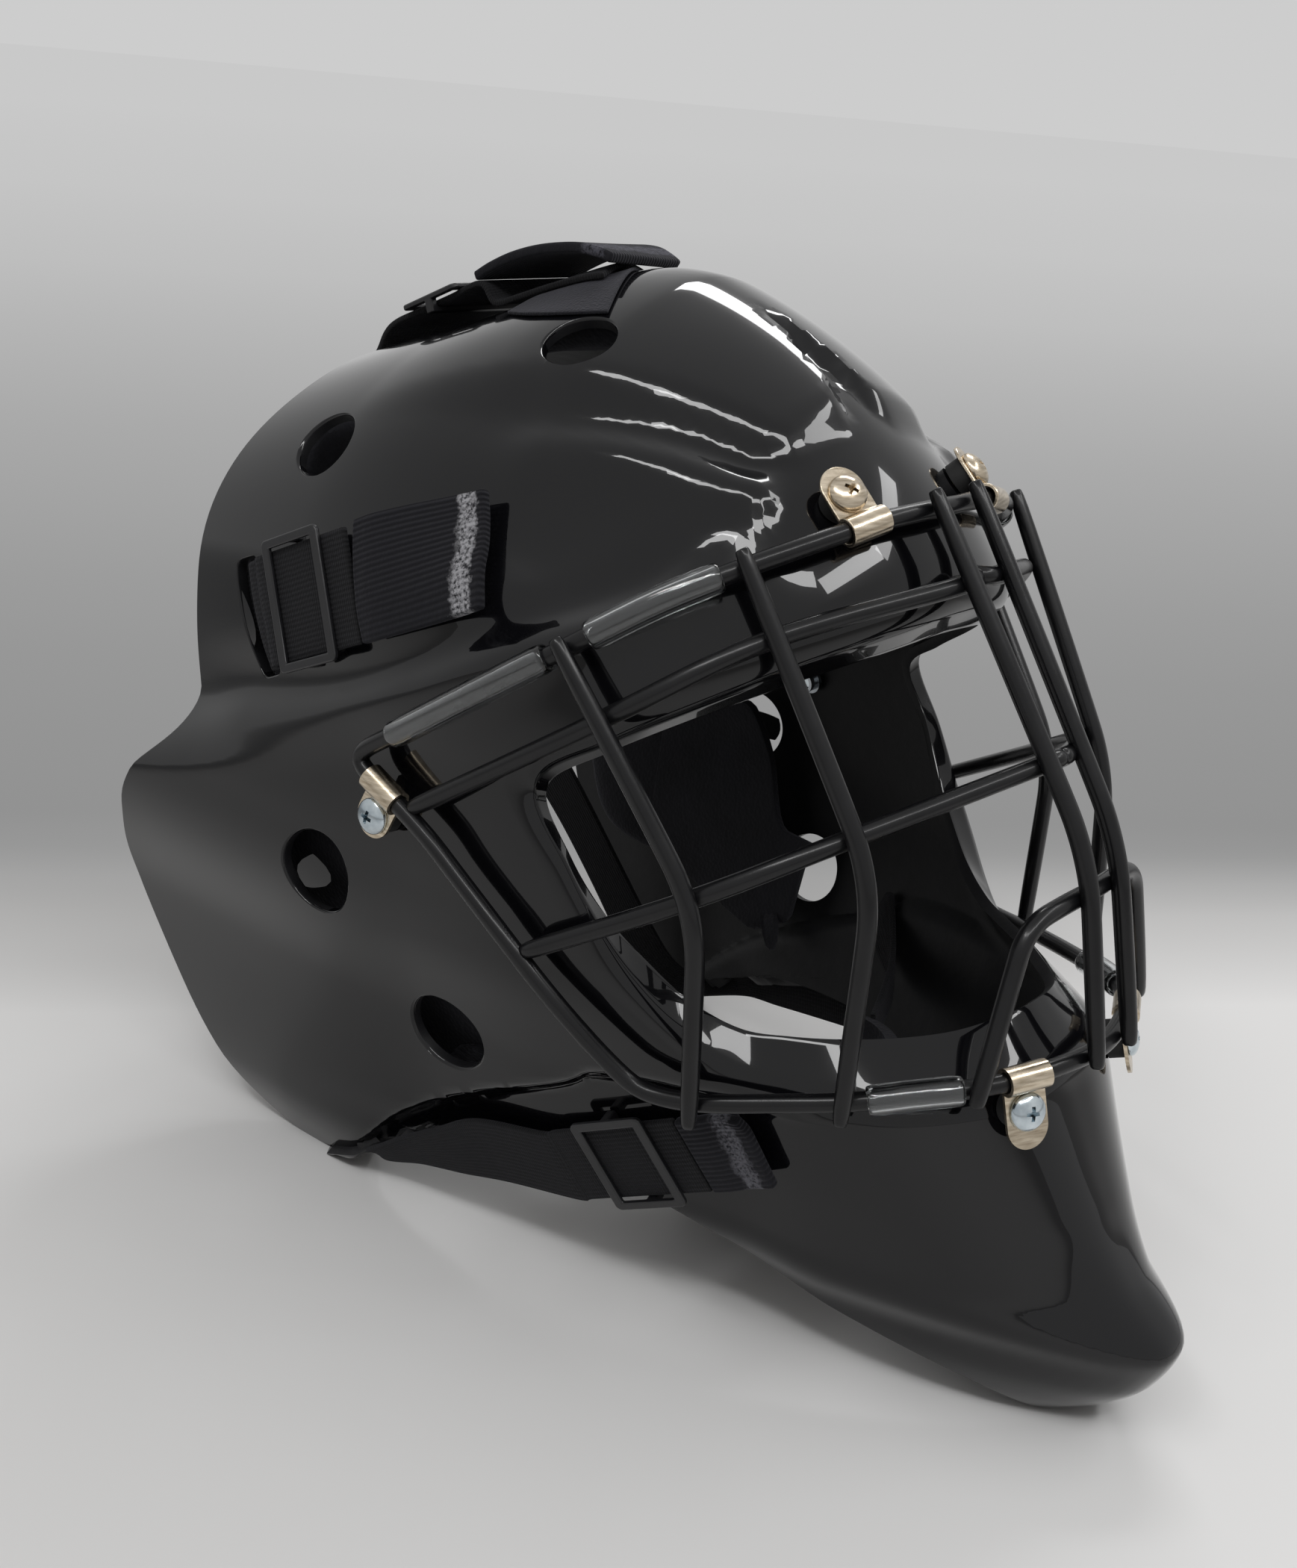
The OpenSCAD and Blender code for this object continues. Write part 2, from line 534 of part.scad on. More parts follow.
module clip_screws() metal() for (s = [-1, 1]) side(s) for (c = clip_spots) at_clip(c) screw();
module rubber_spacers() color([0.04, 0.04, 0.04]) for (s = [-1, 1]) side(s)
    for (c = clip_spots) at_clip(c) difference() {
        translate([0, 0, seat]) cylinder(d = spacer_d, h = spacer_h - 0.02);
        cylinder(d = screw_d + 0.2, h = 30, center = true, $fn = 28);
    }
module tee_nuts() metal() for (s = [-1, 1]) side(s) for (c = clip_spots) at_clip(c)
    translate([0, 0, nut_z]) difference() {
        union() {
            translate([0, 0, -1.3]) cylinder(d = 9.6, h = 1.3);
            translate([0, 0, -4.2]) cylinder(d = 7.4, h = 3.2);
        }
        cylinder(d = screw_d + 0.02, h = 30, center = true, $fn = 28);
    }

// Straps, slides and tails.
lanes = [-1, -0.5, 0, 0.5, 1];
// One row of points across a strap, lying on the form or free in space.
function row_on(p, across, w, h, m) = [for (k = lanes) off(aim(p + across * (w / 2 * k), m), h)];
function row_free(p, across, w) = [for (k = lanes) real(p) + across * (w / 2 * k)];
// Frame of a slide: where it sits, along the strap, across it and out of the shell.
function slide_frame(p, along) =
    let (o = on(p), z = facing(p), x = unit(along - z * (along * z))) [o, x, cross(z, x), z];
function row_flat(f, t, h, w) = [for (k = lanes) f[0] + f[1] * t + f[3] * h + f[2] * (w / 2 * k)];
bar_t = 1.6;
flat_h = 0.5 + bar_t + 0.3 + strap_t / 2;
reach = slide_l / 2 + 9.5;
lay = clear + strap_t / 2;
// Patches that the tails fasten to.
patch_t = 1;
lay_2 = clear + patch_t + 0.35 + strap_t / 2;
side_p = [-93.5, 68, 194];
jaw_p = [-69.4, -46.4, 56];
side_f = slide_frame(aim(side_p, flank), strap_run);
jaw_f = slide_frame(aim(jaw_p, flank), jaw_run);
across_side = cross([-1, 0, 0], strap_run);
across_jaw = unit(cross([-0.93, -0.33, -0.15], jaw_run));
function back(p, run, t) = p - run * t;

strap_side_rows = concat(
    [for (p = [[-66.4, 139, 176], [-76, 128, 177], [-85, 116, 178]]) row_free(p, [0, 0.1, 0.99], strap_w)],
    [for (q = [[-12, -5.3], [-7, -5.2], [-3.4, -4.2], [0.2, -1.8], [3.6, 0.9], [8, lay]])
        row_on(back(side_slot, strap_run, -q[0]), across_side, strap_w, q[1], flank)],
    [for (t = [-reach + 4, -8, 0, 8, reach]) row_flat(side_f, t, flat_h, strap_w)]);
// Rows between a lower and an upper edge, in drawn sizes.
function row_between(u, l) = [for (k = lanes) mix(real(u), real(l), 0.5 + k / 2)];
strap_jaw_rows = concat(
    [for (q = [[[-66, 129, 96], [-66, 136, 74]], [[-67, 110, 76], [-68, 119, 56]],
        [[-71, 90, 49], [-71, 99, 30]], [[-75, 75, 28], [-71, 84, 11]],
        [[-79, 65, 16], [-70, 72, 5.5]], [[-86, 55, 11], [-74, 60, 4]],
        [[-88, 46, 17], [-81, 49, 7.5]], [[-87, 35, 26], [-81, 31, 15.5]],
        [[-85.5, 21, 36], [-78.5, 14, 20]], [[-83.5, 6, 46], [-75.5, -3, 24.8]]]) row_between(q[1], q[0])],
    [for (t = [-reach - 5, -reach, -8, 0, 8, reach]) row_flat(jaw_f, t, flat_h, jaw_w)]);
top_f = [real([0, 104.5, 264.5]), unit([0, -0.92, 0.4]), [-1, 0, 0], unit([0, 0.4, 0.92])];
// Row across the crown whose wearer's right end is further forward.
function row_skew(y, turn, w, h) = [for (k = lanes)
    off(aim([-k * w / 2, y - k * turn, 280], above), h)];
strap_top_rows = concat(
    [for (p = [[0, 147.5, 235.8], [0, 140.5, 241.5], [0, 134, 248.2], [0, 130, 255]])
        row_free(p, [-1, 0, 0], top_w)],
    [for (t = [-reach + 2, -8, 0, 8, reach - 1]) row_flat(top_f, t, flat_h, top_w)],
    [for (q = [[78, 0, 3.2], [70, 2, lay_2], [60, 5, lay_2], [50, 8, lay_2], [44, 10, lay_2]])
        row_skew(q[0], q[1], top_w, q[2])]);
module webbing() color([0.06, 0.06, 0.07]) children();
module strap_top() webbing() sheet(strap_top_rows, -strap_t / 2, strap_t / 2);
module strap_side_r() webbing() sheet(strap_side_rows, -strap_t / 2, strap_t / 2);
module strap_side_l() webbing() side(1) sheet(strap_side_rows, -strap_t / 2, strap_t / 2);
module strap_jaw_r() webbing() sheet(strap_jaw_rows, -strap_t / 2, strap_t / 2);
module strap_jaw_l() webbing() side(1) sheet(strap_jaw_rows, -strap_t / 2, strap_t / 2);

// Tail ends that peel off their patches.
tail_lay = clear + patch_t + 0.35 + tail_t / 2;
tail_side_rows = [for (q = [[0.6, flat_h + 0.6], [8, 4.6], [18, 4], [28, 4.2], [36, 5.4], [41, 7]])
    row_on(side_p + strap_run * (reach + q[0]), across_side, strap_w, q[1], flank)];
tail_jaw_rows = [for (q = [[0.6, flat_h + 0.6], [7, 4.4], [14, 4], [22, 4.6]])
    row_on(jaw_p + jaw_run * (reach + q[0]), across_jaw, jaw_w, q[1], flank)];
tail_top_rows = [for (q = [[88.8, 277.8, 0], [82, 281.6, 0], [73, 285.5, 0.5], [62, 288.6, 1],
    [51, 289.9, 3], [44, 289.2, 4.5], [39, 287.8, 5.4]]) [for (k = lanes)
    real([-k * top_w / 2, q[0] - k * q[2] * 1.2, q[1] + k * q[2] * 0.4])]];
module tail_top() webbing() sheet(tail_top_rows, -tail_t / 2, tail_t / 2);
module tail_side_r() webbing() sheet(tail_side_rows, -tail_t / 2, tail_t / 2);
module tail_side_l() webbing() side(1) sheet(tail_side_rows, -tail_t / 2, tail_t / 2);
module tail_jaw_r() webbing() sheet(tail_jaw_rows, -tail_t / 2, tail_t / 2);
module tail_jaw_l() webbing() side(1) sheet(tail_jaw_rows, -tail_t / 2, tail_t / 2);

// Three-bar slide: outer bars over the webbing, middle bar under it.
module slide(f, w) {
    o = f[0];
    x = f[1];
    y = f[2];
    z = f[3];
    rail = 2.6;
    high = flat_h + strap_t / 2 + 0.3;
    multmatrix([[x[0], y[0], z[0], o[0]], [x[1], y[1], z[1], o[1]], [x[2], y[2], z[2], o[2]]]) {
        translate([0, 0, high]) linear_extrude(bar_t) difference() {
            offset(2) square([slide_l - 4, w + 1 + 2 * rail - 4], center = true);
            square([slide_l - 2 * slide_bar, w + 1], center = true);
        }
        for (s = [-1, 1]) translate([-slide_bar / 2, s * (w / 2 + 0.5 + rail / 2) - rail / 2, 0.5])
            cube([slide_bar, rail, high - 0.4]);
        translate([-slide_bar / 2, -w / 2 - 1, 0.5]) cube([slide_bar, w + 2, bar_t]);
    }
}
module resin() color([0.07, 0.07, 0.075]) children();
module slide_top() resin() slide(top_f, top_w);
module slide_side_r() resin() slide(side_f, strap_w);
module slide_side_l() resin() side(1) slide(side_f, strap_w);
module slide_jaw_r() resin() slide(jaw_f, jaw_w);
module slide_jaw_l() resin() side(1) slide(jaw_f, jaw_w);
module hook_patches() color([0.09, 0.09, 0.1]) {
    for (s = [-1, 1]) side(s) {
        sheet([for (q = [9, 20, 32]) row_on(side_p + strap_run * (reach + q), across_side,
            strap_w - 4, clear, flank)], 0, patch_t);
        sheet([for (q = [5, 11, 18]) row_on(jaw_p + jaw_run * (reach + q), across_jaw,
            jaw_w - 4, clear, flank)], 0, patch_t);
    }
    sheet([for (q = [[62, 5, -8, 58], [54, 8, -10, 60], [44, 11, -12, 56], [32, 13, -15, 42]])
        [for (k = lanes) off(aim([q[2] + k * q[3] / 2, q[0] + k * q[1], 280], above), clear)]],
        0, patch_t);
}

// Back plate.
plate_z = 166;
plate_h = 70;
function plate_at(u, v) =
    let (w = plate_w * pow(1 - pow(abs(v) * 0.985, 5), 1 / 5) * (1 - 0.06 * v))
    [w * u, plate_y - 13 * pow(abs(w * u / 62), 2.2) - 11 * pow(abs(v), 2.2), plate_z + plate_h * v];
function plate_real(u, v) = let (p = plate_at(u, v)) [p[0], p[1] * ky + y_mid, p[2] * kz];
function plate_grid(s, n, m) = [for (i = [0:n]) [for (j = [0:m])
    plate_real(s * (2 * j / m - 1), s * (2 * i / n - 1))]];
module back_plate() color([0.06, 0.06, 0.065]) sheet(plate_grid(1, 14, 14), -plate_t, 0);
module back_plate_pad() color([0.13, 0.13, 0.14]) sheet(plate_grid(0.9, 10, 10),
    -plate_t - 0.4 - pad_t, -plate_t - 0.4);

// Liner pads.
// Rounded patch under the form: centre, half extents along two directions, thickness.
function patch_row(c, U, V, s, m) = [for (k = [0:m - 1]) let (t = 360 * k / m,
        x = cos(t), y = sin(t), q = pow(pow(abs(x), 4) + pow(abs(y), 4), -0.25))
    c + U * (x * q * s) + V * (y * q * s)];
module pad(c, U, V, th, lift = 0.4) {
    m = 28;
    shares = [0.35, 0.72, 0.93, 1];
    face = [1, 1, 0.9, 0.45];
    base = wall + clear + lift;
    rings = [for (s = shares) patch_row(c, U, V, s, m)];
    out = [for (i = [0:3]) for (p = rings[i]) off(p, -base)];
    inn = [for (i = [0:3]) for (p = rings[i]) off(p, -base - 1 - (th - 1) * face[i])];
    pts = concat(out, inn, [off(c, -base), off(c, -base - th)]);
    k = 4 * m;
    fs = concat(
        [for (i = [0:2]) for (j = [0:m - 1]) let (a = i * m + j, b = i * m + (j + 1) % m)
            each [[a, b, b + m], [a, b + m, a + m], [k + a, k + b + m, k + b], [k + a, k + a + m, k + b + m]]],
        [for (j = [0:m - 1]) let (a = 3 * m + j, b = 3 * m + (j + 1) % m)
            each [[a, b, k + b], [a, k + b, k + a]]],
        [for (j = [0:m - 1]) let (b = (j + 1) % m) each [[2 * k, b, j], [2 * k + 1, k + j, k + b]]]);
    flip = det3(U, V, facing(c)) < 0;
    polyhedron(points = pts, faces = flip ? [for (f = fs) [f[0], f[2], f[1]]] : fs);
}
function det3(a, b, c) = cross(a, b) * c;
module foam() color([0.12, 0.12, 0.13]) children();
module forehead_pad() foam() pad([0, -44, 259], [44, 0, 0], [0, 11, 9], pad_t, 1.8);
module crown_pad() foam() pad([0, 45, 285], [34, 0, 0], [0, 44, 0], pad_t, 0.9);
module temple_pad(s) foam() side(s) pad([-93, 52, 222], [0, 38, 0], [0, 0, 15], pad_t * 0.8);
module temple_pad_r() temple_pad(-1);
module temple_pad_l() temple_pad(1);
module jaw_pad(s) foam() side(s) pad([-103, 105, 78], [0, 26, 0], [0, 8, 27], pad_t);
module jaw_pad_r() jaw_pad(-1);
module jaw_pad_l() jaw_pad(1);

// Chin sling.
cup_c = [0, -58, 62];
module chin_cup() color([0.1, 0.1, 0.11]) translate(real(cup_c)) difference() {
    scale([1, 0.72, 0.62]) sphere(r = 31, $fn = 40);
    translate([0, 3, 2.5]) scale([1, 0.72, 0.62]) sphere(r = 28, $fn = 40);
    translate([-50, -50, 4]) cube([100, 100, 60]);
    translate([-50, 6, -50]) cube([100, 60, 100]);
}
sling_rows = [for (q = [[-30.2, -57, 60.5], [-46, -50, 62], [-62, -42, 66]]) row_free(q, [0, 0.1, 0.99], 14)];
sling_end = [for (q = [[-80, -33, 72, -wall - 2.6], [-84, -26, 75, -wall - 2]])
    [for (k = lanes) off([q[0], q[1], q[2] + 7 * k], q[3])]];
module sling(s) webbing() side(s) sheet(concat(sling_rows, sling_end), -0.9, 0.9);
module sling_r() sling(-1);
module sling_l() sling(1);

shell();
cage_perimeter();
brow_wire();
mid_wire();
mouth_hoop();
bar_outer_r();
bar_outer_l();
bar_inner_r();
bar_inner_l();
bar_center_r();
bar_center_l();
clip_brow_r();
clip_brow_l();
clip_side_r();
clip_side_l();
clip_chin_r();
clip_chin_l();
clip_screws();
rubber_spacers();
tee_nuts();
sleeve_side_r();
sleeve_side_l();
sleeve_brow_r();
sleeve_brow_l();
sleeve_chin_r();
sleeve_chin_l();
back_plate();
back_plate_pad();
strap_top();
strap_side_r();
strap_side_l();
strap_jaw_r();
strap_jaw_l();
tail_top();
tail_side_r();
tail_side_l();
tail_jaw_r();
tail_jaw_l();
slide_top();
slide_side_r();
slide_side_l();
slide_jaw_r();
slide_jaw_l();
hook_patches();
forehead_pad();
crown_pad();
temple_pad_r();
temple_pad_l();
jaw_pad_r();
jaw_pad_l();
chin_cup();
sling_r();
sling_l();
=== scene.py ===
# %% [markdown]
# # A hockey goalie's mask
#
# A goalie's mask is one glossy moulded shell with a welded wire cage bolted in front of the face.
# The construction model already says where everything is. This lesson loads that model as a fixed
# frame and then dresses it: a smooth lacquered shell, coated wires, plated clips, woven straps and
# padded liners. Everything is in metres, Z up, with the face looking to -Y.

# %% Load the frame
import math

import bmesh
import bpy
import numpy as np
from mathutils import Matrix, Vector


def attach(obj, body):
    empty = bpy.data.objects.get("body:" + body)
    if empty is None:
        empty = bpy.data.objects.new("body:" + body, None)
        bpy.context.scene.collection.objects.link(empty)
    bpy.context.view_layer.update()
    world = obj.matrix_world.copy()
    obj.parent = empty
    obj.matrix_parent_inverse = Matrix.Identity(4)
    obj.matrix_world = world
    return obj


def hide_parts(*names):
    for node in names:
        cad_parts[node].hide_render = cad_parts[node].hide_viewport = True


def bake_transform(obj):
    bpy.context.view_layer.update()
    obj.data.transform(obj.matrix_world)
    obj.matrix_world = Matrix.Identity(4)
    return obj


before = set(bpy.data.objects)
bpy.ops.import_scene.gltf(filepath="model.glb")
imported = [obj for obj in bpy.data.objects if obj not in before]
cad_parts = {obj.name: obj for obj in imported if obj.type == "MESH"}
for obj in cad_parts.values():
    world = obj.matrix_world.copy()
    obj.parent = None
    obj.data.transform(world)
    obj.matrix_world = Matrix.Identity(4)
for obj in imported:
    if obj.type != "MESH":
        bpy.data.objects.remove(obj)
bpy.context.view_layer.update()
MM = 0.001
SIDES = ("_r", "_l")

# %% [markdown]
# Colours are written as the hex values that a painter would pick on screen. Blender's shader wants
# linear light, so one function turns one into the other.


# %% Colour helper
def srgb(code):
    parts = [int(code[i:i + 2], 16) / 255 for i in (1, 3, 5)]
    return tuple(c / 12.92 if c <= 0.04045 else ((c + 0.055) / 1.055) ** 2.4 for c in parts) + (1.0,)


# %% [markdown]
# A material is a Principled shader with a few nodes round it. Numbers that are the same all over
# go straight on the shader's own sockets. Anything that varies, such as grain or dust, comes from
# noise on Object coordinates, or from the piece's own UV map where it has to follow a strap.


# %% Material helpers
class Nodes:
    """A node tree that is built up a line at a time."""

    def __init__(self, tree):
        self.tree = tree

    def node(self, kind, **settings):
        made = self.tree.nodes.new("ShaderNode" + kind)
        for key, value in settings.items():
            if key in made.inputs:
                made.inputs[key].default_value = value
            else:
                setattr(made, key, value)
        return made

    def link(self, a, out, b, into):
        self.tree.links.new(a.outputs[out], b.inputs[into])
        return b

    def ramp(self, source, out, stops):
        made = self.node("ValToRGB")
        self.link(source, out, made, "Fac")
        points = made.color_ramp.elements
        while len(points) < len(stops):
            points.new(0.5)
        for point, (where, colour) in zip(points, stops):
            point.position = where
            point.color = srgb(colour) if isinstance(colour, str) else (colour, colour, colour, 1)
        return made

    def sums(self, operation, *terms):
        made = self.node("Math", operation=operation)
        for i, term in enumerate(terms):
            if isinstance(term, tuple):
                self.tree.links.new(term[0].outputs[term[1]], made.inputs[i])
            else:
                made.inputs[i].default_value = term
        return made


class Finish(Nodes):
    """A material with a Principled shader."""

    def __init__(self, name, **sockets):
        self.material = bpy.data.materials.new(name)
        self.material.use_nodes = True
        super().__init__(self.material.node_tree)
        self.shader = self.tree.nodes["Principled BSDF"]
        self.coords = None
        for key, value in sockets.items():
            self.shader.inputs[key.replace("_", " ")].default_value = value

    def place(self, made, which, into="Vector"):
        """Feeds one kind of texture coordinates into a node."""
        if self.coords is None:
            self.coords = self.node("TexCoord")
        return self.link(self.coords, which, made, into)

    def noise(self, scale, detail=3.0, rough=0.55, stretch=None):
        made = self.node("TexNoise", Scale=scale, Detail=detail, Roughness=rough)
        if stretch is None:
            return self.place(made, "Object")
        mapping = self.place(self.node("Mapping", Scale=stretch), "Object")
        return self.link(mapping, "Vector", made, "Vector")

    def vary(self, socket, source, stops):
        """Lets a socket of the shader follow a noise through a ramp."""
        self.link(self.ramp(source, "Fac", stops), "Color", self.shader, socket)

    def bump(self, source, out, distance, strength=1.0):
        made = self.node("Bump", Distance=distance, Strength=strength)
        self.link(source, out, made, "Height")
        self.link(made, "Normal", self.shader, "Normal")


# %% [markdown]
# ## The shell's lacquer
#
# The real shell is black gel coat polished to a mirror. A clear coat with almost no roughness
# carries the reflections. Very faint, wide ripples in the normal keep it from looking computed, and
# a little dust dulls it here and there.

# %% Lacquer and wire coating
lacquer = Finish("black_lacquer", Roughness=0.2, IOR=1.5, Specular_IOR_Level=0.05, Coat_Weight=1.0,
                 Coat_Roughness=0.015, Coat_IOR=1.42)
lacquer.vary("Roughness", lacquer.noise(9.0, 4.0), [(0.35, 0.1), (0.7, 0.22)])
lacquer.vary("Base Color", lacquer.noise(3.0, 2.0), [(0.3, "#08080A"), (0.75, "#0E0E11")])
lacquer.bump(lacquer.noise(38.0, 2.0, 0.5), "Fac", 0.00018, 0.35)

coated = Finish("coated_wire", Roughness=0.3, IOR=1.5, Specular_IOR_Level=0.25, Coat_Weight=0.2,
                Coat_Roughness=0.12)
coated.vary("Base Color", coated.noise(120.0, 3.0), [(0.3, "#08080A"), (0.75, "#0F0F11")])
coated.vary("Roughness", coated.noise(26.0, 4.0), [(0.35, 0.24), (0.72, 0.42)])
coated.bump(coated.noise(420.0, 2.0), "Fac", 0.00006, 0.5)
print("lacquer and wire coating are ready")

# %% [markdown]
# ## Plated metal
#
# The forehead clips are nickel, which is a warm silver. The screws low on the mask are zinc, which
# is bluer. Both have fine brush marks, which are noise stretched along one direction.


# %% Metals
def plated(name, dark, light, rough, along=(1, 1, 1)):
    made = Finish(name, Metallic=1.0, Roughness=rough)
    brush = made.noise(160.0, 3.0, 0.5, stretch=along)
    made.vary("Base Color", brush, [(0.3, dark), (0.7, light)])
    made.vary("Roughness", made.noise(60.0, 3.0), [(0.35, rough * 0.7), (0.75, rough * 1.5)])
    made.bump(brush, "Fac", 0.00003, 0.5)
    return made


nickel = plated("warm_nickel", "#A99B86", "#DCCFBA", 0.24, (1, 1, 8))
zinc = plated("bright_zinc", "#9AA6AE", "#DDE6EA", 0.16)
dull_zinc = plated("dull_zinc", "#8C9196", "#B9BEC2", 0.3)

# %% [markdown]
# ## Rubber, clear vinyl and moulded plastic
#
# The sleeves over the loop wire are clear tube, so they are a transmitting shader with a slight
# milky tint. The slides and the plate at the back are plain moulded plastic with a fine grain.

# %% Rubber, vinyl and plastics
rubber = Finish("black_rubber", Roughness=0.7, IOR=1.5)
rubber.vary("Base Color", rubber.noise(90.0), [(0.3, "#0C0C0C"), (0.8, "#191919")])
rubber.bump(rubber.noise(600.0, 2.0), "Fac", 0.00008, 0.5)

vinyl = Finish("clear_vinyl", Base_Color=srgb("#EEF1F2"), Roughness=0.06, IOR=1.46,
               Transmission_Weight=1.0, Coat_Weight=0.4, Coat_Roughness=0.05)
vinyl.bump(vinyl.noise(55.0, 3.0), "Fac", 0.0005, 0.45)


def moulded(name, dark, light, rough, fine=500.0):
    made = Finish(name, Roughness=rough, IOR=1.5)
    made.vary("Base Color", made.noise(70.0), [(0.3, dark), (0.8, light)])
    made.vary("Roughness", made.noise(30.0), [(0.3, rough * 0.8), (0.75, rough * 1.25)])
    made.bump(made.noise(fine, 2.0), "Fac", 0.00006, 0.6)
    return made


slide_plastic = moulded("slide_plastic", "#141416", "#1E1E21", 0.34)
plate_plastic = moulded("plate_plastic", "#111114", "#1A1A1D", 0.42, 900.0)
print("metals, rubber, vinyl and plastics are ready")

# %% [markdown]
# ## Webbing
#
# Elastic webbing has ribs that run along it. Each strap carries a UV map in metres, u across and v
# along, so a sine wave of u makes ribs of the true size, 1.4 mm apart. A finer wave of v is the
# thread between them. A fine noise breaks both up, and sheen gives the soft edge glow of fabric.


# %% Webbing material
RIB, TAIL_RIB, THREAD = 0.0014, 0.0016, 0.0008


def woven(name, dark, light):
    made = Finish(name, Roughness=0.92, IOR=1.4, Sheen_Weight=0.1, Sheen_Roughness=0.45,
                  Sheen_Tint=srgb("#8A8A98"))
    split = made.place(made.node("SeparateXYZ"), "UV")
    across = made.sums("MULTIPLY", (split, "X"), 2 * math.pi / RIB)
    along = made.sums("MULTIPLY", (split, "Y"), 2 * math.pi / THREAD)
    wobble = made.noise(400.0, 2.0)
    shifted = made.sums("ADD", (across, 0), (made.sums("MULTIPLY", (wobble, "Fac"), 2.4), 0))
    ribs = made.sums("SINE", (shifted, 0))
    half = made.sums("MULTIPLY", (made.sums("SINE", (along, 0)), 0), 0.5)
    weave = made.sums("ADD", (ribs, 0), (half, 0))
    lint = made.noise(1500.0, 3.0)
    height = made.sums("ADD", (weave, 0), (made.sums("MULTIPLY", (lint, "Fac"), 1.6), 0))
    shade = made.ramp(made.sums("MULTIPLY_ADD", (weave, 0), 0.25, 0.5), 0, [(0.1, dark), (0.9, light)])
    made.link(shade, "Color", made.shader, "Base Color")
    made.bump(height, 0, 0.00015, 0.8)
    return made


webbing = woven("elastic_webbing", "#060607", "#101013")

# %% [markdown]
# The fastening tails end in a strip of hook tape that has worn to a pale fuzz, then a dark welded
# edge. The strip's place is a band of v in the same UV map, and noise eats into both its sides.


# %% Tail tips
def fuzzy_tip(name, base, start, end, pale):
    made = Finish(name, Roughness=0.95, IOR=1.4, Sheen_Weight=0.12, Sheen_Roughness=0.5,
                  Sheen_Tint=srgb("#9A9AA6"))
    split = made.place(made.node("SeparateXYZ"), "UV")
    ragged = made.noise(260.0, 4.0, 0.7)
    shift = made.sums("MULTIPLY_ADD", (ragged, "Fac"), 0.007, -0.0035)
    place = made.sums("ADD", (split, "Y"), (shift, 0))
    share = made.sums("DIVIDE", (made.sums("SUBTRACT", (place, 0), start), 0), end - start)
    band = made.ramp(share, 0, [(0.0, 0.0), (0.25, 1.0), (0.78, 1.0), (0.95, 0.0)])
    fleck = made.ramp(made.noise(900.0, 3.0, 0.7), "Fac", [(0.36, 0.0), (0.56, 1.0)])
    amount = made.sums("MULTIPLY", (band, "Color"), (fleck, "Color"))
    across = made.sums("MULTIPLY", (split, "X"), 2 * math.pi / TAIL_RIB)
    ribs = made.sums("SINE", (across, 0))
    shade = made.ramp(made.sums("MULTIPLY_ADD", (ribs, 0), 0.3, 0.5), 0, [(0.1, base), (0.9, "#121218")])
    mix = made.node("Mix", data_type="RGBA")
    made.link(amount, 0, mix, "Factor")
    made.link(shade, "Color", mix, 6)
    mix.inputs[7].default_value = srgb(pale)
    made.link(mix, 2, made.shader, "Base Color")
    height = made.sums("ADD", (ribs, 0), (made.sums("MULTIPLY", (ragged, "Fac"), 3.0), 0))
    made.bump(height, 0, 0.00022, 0.8)
    return made


# %% [markdown]
# ## Foam and its cover
#
# The liner pads are closed foam under a knitted cover. A cell pattern in the bump gives the knit,
# and sheen again gives the soft edge.


# %% Foam and cup materials
def knitted(name, dark, light, cell=700.0):
    made = Finish(name, Roughness=0.9, IOR=1.4, Sheen_Weight=0.35, Sheen_Roughness=0.5,
                  Sheen_Tint=srgb("#7E7E88"))
    cells = made.place(made.node("TexVoronoi", Scale=cell), "Object")
    made.vary("Base Color", made.noise(35.0), [(0.3, dark), (0.75, light)])
    made.bump(cells, "Distance", 0.0003, 0.7)
    return made


foam_cover = knitted("liner_cover", "#17171A", "#25252A")
plate_cover = knitted("plate_cover", "#1B1B1F", "#2B2B30", 620.0)
cup_cover = knitted("cup_cover", "#141417", "#202024", 800.0)
loop_tape = knitted("loop_tape", "#101014", "#1C1C22", 1400.0)
print("cloth and foam are ready")

# %% [markdown]
# ## Making a piece
#
# Every piece goes through one door: a bmesh becomes an object at the origin, gets its material,
# smooth shading, maybe subdivision and its body, and hides the construction node that it stands for.


# %% Piece helpers
def bare(name, shape):
    """An object at the origin; alone, it is a step on the way, such as a cutter."""
    mesh = bpy.data.meshes.new(name)
    shape.to_mesh(mesh)
    shape.free()
    made = bpy.data.objects.new(name, mesh)
    bpy.context.collection.objects.link(made)
    return made


def modify(thing, name, kind, **settings):
    made = thing.modifiers.new(name, kind)
    for key, value in settings.items():
        setattr(made, key, value)


def bevel(thing, width, segments, angle):
    modify(thing, "edge", "BEVEL", width=width, segments=segments, limit_method="ANGLE",
           angle_limit=math.radians(angle))


def settle(thing):
    """Applies the modifiers of an object to its mesh."""
    view = bpy.context.evaluated_depsgraph_get()
    mesh = bpy.data.meshes.new_from_object(thing.evaluated_get(view))
    thing.modifiers.clear()
    old, thing.data = thing.data, mesh
    bpy.data.meshes.remove(old)


def piece(name, shape, finish, body, stands_for=(), levels=0):
    thing = bare(name, shape)
    thing.data.materials.append(finish.material)
    thing.data.polygons.foreach_set("use_smooth", [True] * len(thing.data.polygons))
    if levels:
        modify(thing, "round", "SUBSURF", levels=levels, render_levels=levels)
    if body:
        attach(thing, body)
    if stands_for:
        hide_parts(*stands_for)
    return thing


def unit_grid(across, along):
    """A grid of faces, and where each of its points stands on it, from 0 to 1 both ways."""
    shape = bmesh.new()
    bmesh.ops.create_grid(shape, x_segments=across, y_segments=along, size=1.0)
    return shape, np.array([v.co for v in shape.verts])[:, :2] * 0.5 + 0.5


